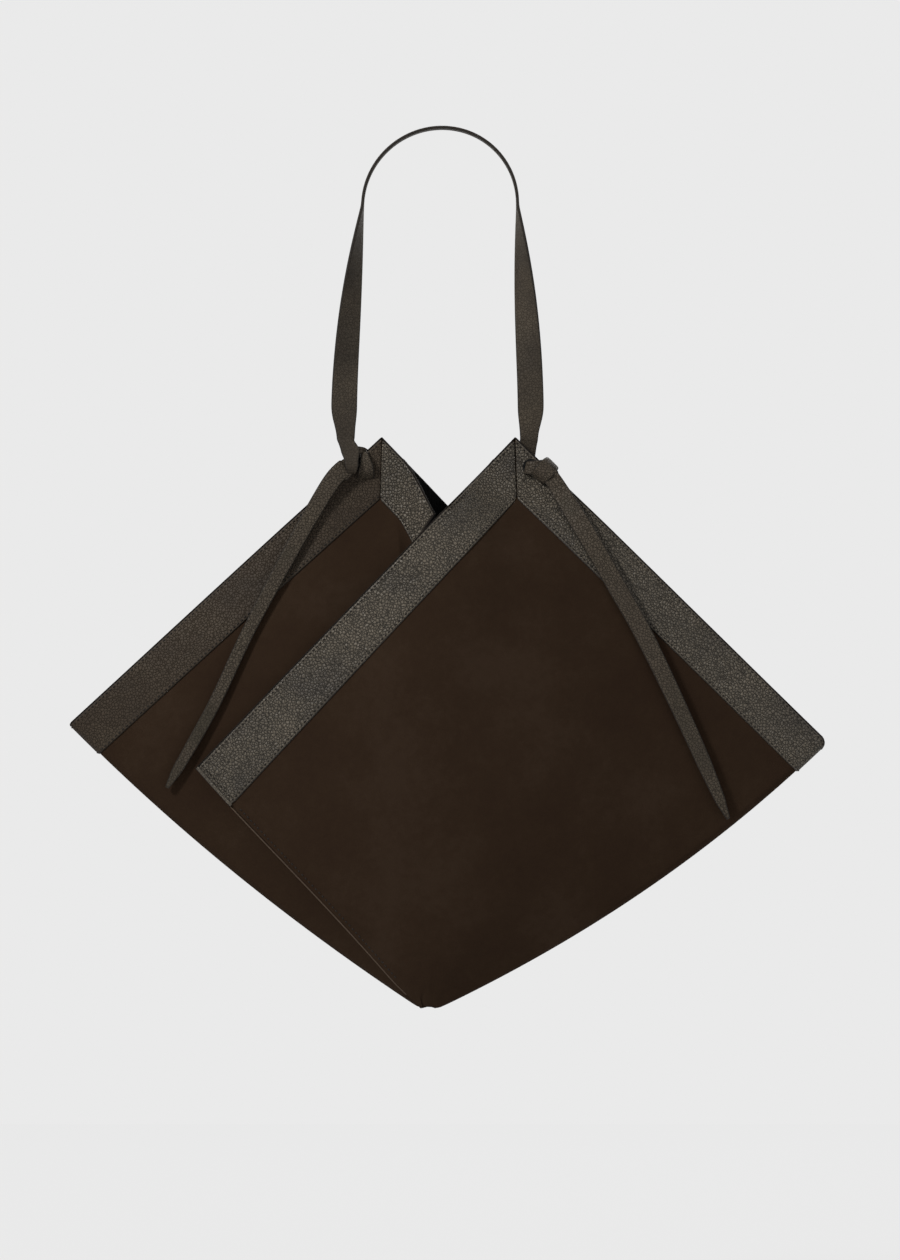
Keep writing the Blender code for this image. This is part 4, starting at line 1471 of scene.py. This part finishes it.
@dataclass
class Tail:
    """A pointed tail of the strap, which leaves its knot and lies on the bag's front."""

    form: BagForm
    side: Side
    finishes: Finishes
    strap_width: float = 0.021
    thickness: float = 0.003
    standoff: float = 0.0026
    start_depth: float = -0.01175
    touch_share: float = 0.56
    probe_share: float = 0.02
    boxy: float = 0.36
    line_steps: int = 16
    steps: int = 60

    def __post_init__(self) -> None:
        """Lays the centre line in the front view, from the knot to the tip."""
        places = [from_pixel(x, y)[[0, 2]] for x, y in TAIL_PIXELS[self.side]]
        self.line = smooth_path(places, self.line_steps)
        run = run_along(self.line)
        self.run = run / run[-1]

    def place(self, share: float) -> np.ndarray:
        """Centre line in the front view."""
        return place_along(self.line, self.run, share)

    def rest_depth(self, seen: np.ndarray) -> float:
        """Depth of the tail's middle where it lies on the front."""
        form = self.form
        place = form.flattened(seen)
        lift = form.border + self.standoff + self.thickness / 2
        if self.side is Side.RIGHT:
            lift += form.panel_lift(place, 1)
        return form.skin(place, -1)[1] - lift / abs(form.skin_normal(place, -1)[1])

    def point(self, share: float) -> np.ndarray:
        """Centre of the tail in space."""
        seen = self.place(share)
        depth = self.rest_depth(seen)
        if share < self.touch_share:
            touch = self.rest_depth(self.place(self.touch_share))
            hanging = between(self.start_depth, touch, share / self.touch_share)
            depth = min(depth, hanging) if share > 0 else self.start_depth
        return np.array([seen[0], depth, seen[1]])

    def build(self) -> bpy.types.Object:
        """Makes the tail."""
        stations = []
        for k in range(self.steps + 1):
            share = k / self.steps
            width_share = np.interp(share, TAIL_RUN_SHARES, TAIL_WIDTH_SHARES[self.side])
            before, after = held(share - self.probe_share), held(share + self.probe_share)
            down = unit(self.place(after) - self.place(before))
            across = np.array([-down[1], 0, down[0]])
            half = float(width_share) * self.strap_width / 2
            stations.append(Station(self.point(share), across, half, self.thickness / 2))
        bm = strap_mesh(stations, self.boxy)
        name = f"{self.side.label}_tail_leather"
        piece = finish_piece(name, bm, self.finishes.strap, 1)
        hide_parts(f"{self.side.label}_tail")
        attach(piece, f"{self.side.label}_tail")
        return piece


@dataclass
class Knot:
    """The strap's turns at one peak: through its hole and round itself, sizes in millimetres."""

    side: Side
    finishes: Finishes
    boxy: float = 0.5
    hole_radius: float = 6.2
    hole_height: float = 0.4
    hole_depth: float = 4.3
    hole_segments: int = 40

    def build(self) -> list[bpy.types.Object]:
        """Makes each turn of the knot and a dark disc of painted shade in the hole round it."""
        pieces = []
        for name, (half_thickness, *places) in KNOT_TURNS[self.side].items():
            path = smooth_path(
                [
                    (*from_pixel(x, y, depth), half * MM, across_x, 0, across_z)
                    for x, y, depth, half, across_x, across_z in places
                ]
            )
            stations = [Station(row[:3], row[4:], row[3], half_thickness * MM) for row in path]
            bm = strap_mesh(stations, self.boxy)
            piece_name = f"{self.side.label}_knot_{name}"
            piece = finish_piece(piece_name, bm, self.finishes.strap, 1)
            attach(piece, "bag")
            pieces.append(piece)
        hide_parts(f"{self.side.label}_knot")
        pieces.extend(self.hole_shadow(face) for face in (-1, 1))
        return pieces

    def hole_shadow(self, face: int) -> bpy.types.Object:
        """A dark disc of painted shade in the punched hole round the strap, on the front or the back
        of the peak.
        """
        bm = bmesh.new()
        bmesh.ops.create_cone(
            bm,
            cap_ends=True,
            segments=self.hole_segments,
            radius1=self.hole_radius * MM,
            radius2=self.hole_radius * MM,
            depth=self.hole_height * MM,
        )
        bm.verts.layers.float.new("edge_mm")
        place = from_pixel(*HOLE_PIXELS[self.side], face * self.hole_depth)
        bmesh.ops.rotate(bm, verts=bm.verts, matrix=Matrix.Rotation(math.pi / 2, 3, "X"))
        bmesh.ops.translate(bm, verts=bm.verts, vec=Vector(place))
        name = f"{self.side.label}_hole_{'front' if face < 0 else 'back'}"
        # Painted shade: the black lining finish on this disc stands for the shade inside the hole.
        piece = finish_piece(name, bm, self.finishes.lining)
        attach(piece, "bag")
        return piece


@dataclass
class Studio:
    """Plain pale room: camera, soft lights, backdrop colour and floor."""

    backdrop: str = "#EAEAEA"
    distance: float = 6.0
    centre: tuple[float, float] = (450, 630)
    frame_height: float = 1260
    clip_end: float = 50
    aim_drop: float = 0.4
    floor_drop: float = 0.96
    floor_half_width: float = 2.5
    floor_glow: float = 0.93
    room_grey: tuple[float, float, float, float] = (0.25, 0.25, 0.25, 1)

    def build(self) -> None:
        """Makes the room."""
        self.camera()
        self.lights()
        self.world()
        self.floor()
        bpy.context.scene.view_settings.view_transform = "Standard"

    def camera(self) -> None:
        """Looks straight at the front from far away."""
        data = bpy.data.cameras.new("camera")
        data.sensor_fit = "VERTICAL"
        data.lens = data.sensor_height * self.distance / (self.frame_height * PIXEL)
        data.clip_end = self.clip_end
        camera = bpy.data.objects.new("camera", data)
        place = from_pixel(*self.centre)
        camera.location = (place[0], -self.distance, place[2])
        camera.rotation_euler = (math.pi / 2, 0, 0)
        bpy.context.collection.objects.link(camera)
        bpy.context.scene.camera = camera

    def lights(self) -> None:
        """Two soft lamps in front and one behind: name, place, size and watts of each."""
        for name, place, size, power in (
            ("key", (-1.9, -2.05, 1.35), 0.5, 88),
            ("fill", (1.9, -2.2, 0.4), 2.2, 17),
            ("back", (0.4, 2.4, 1.2), 2.0, 36),
        ):
            data = bpy.data.lights.new(name, "AREA")
            data.size = size
            data.energy = power
            lamp = bpy.data.objects.new(name, data)
            lamp.location = place
            aim = Vector((0, 0, -self.aim_drop)) - Vector(place)
            lamp.rotation_euler = aim.to_track_quat("-Z", "Y").to_euler()
            bpy.context.collection.objects.link(lamp)

    def world(self) -> None:
        """Grey all round, and the backdrop's pale colour where it is seen or mirrored."""
        shader = Shader(bpy.data.worlds.new("room"))
        bpy.context.scene.world = shader.owner
        shader.tree.nodes.clear()
        around = shader.add("Background", Color=self.room_grey).outputs["Background"]
        seen = shader.add("Background", Color=linear(self.backdrop)).outputs["Background"]
        mix = shader.add("MixShader", Fac=shader.shown_rays(), i1=around, i2=seen)
        shader.add("OutputWorld", Surface=mix.outputs["Shader"])

    def floor(self) -> None:
        """A plain pale floor well under the hanging bag."""
        shader = Shader(bpy.data.materials.new("pale_floor"))
        shader.cover(Base_Color=linear(self.backdrop), Roughness=0.9)
        lit = shader.surface.outputs["BSDF"]
        glow = shader.add("Emission", Color=linear(self.backdrop)).outputs["Emission"]
        share = shader.maths("MULTIPLY", shader.shown_rays(), self.floor_glow)
        mix = shader.add("MixShader", Fac=share, i1=lit, i2=glow)
        shader.feed(shader.tree.nodes["Material Output"].inputs["Surface"], mix.outputs["Shader"])
        bm = bmesh.new()
        bmesh.ops.create_grid(bm, x_segments=1, y_segments=1, size=self.floor_half_width)
        bmesh.ops.translate(bm, verts=bm.verts, vec=(0, 0, -self.floor_drop))
        mesh = bpy.data.meshes.new("floor")
        bm.to_mesh(mesh)
        bm.free()
        mesh.materials.append(shader.owner)
        floor = bpy.data.objects.new("floor", mesh)
        bpy.context.collection.objects.link(floor)


def main() -> None:
    """Builds the room and then every piece of the bag."""
    logging.basicConfig(level=logging.INFO, format="%(name)s %(message)s")
    Studio().build()
    finishes = make_finishes()
    form = BagForm()
    for side in Side:
        SheetHalf(form, side, finishes).build()
        Tail(form, side, finishes).build()
        Knot(side, finishes).build()
    HandleStrap(finishes).build()


if __name__ == "__main__":
    main()
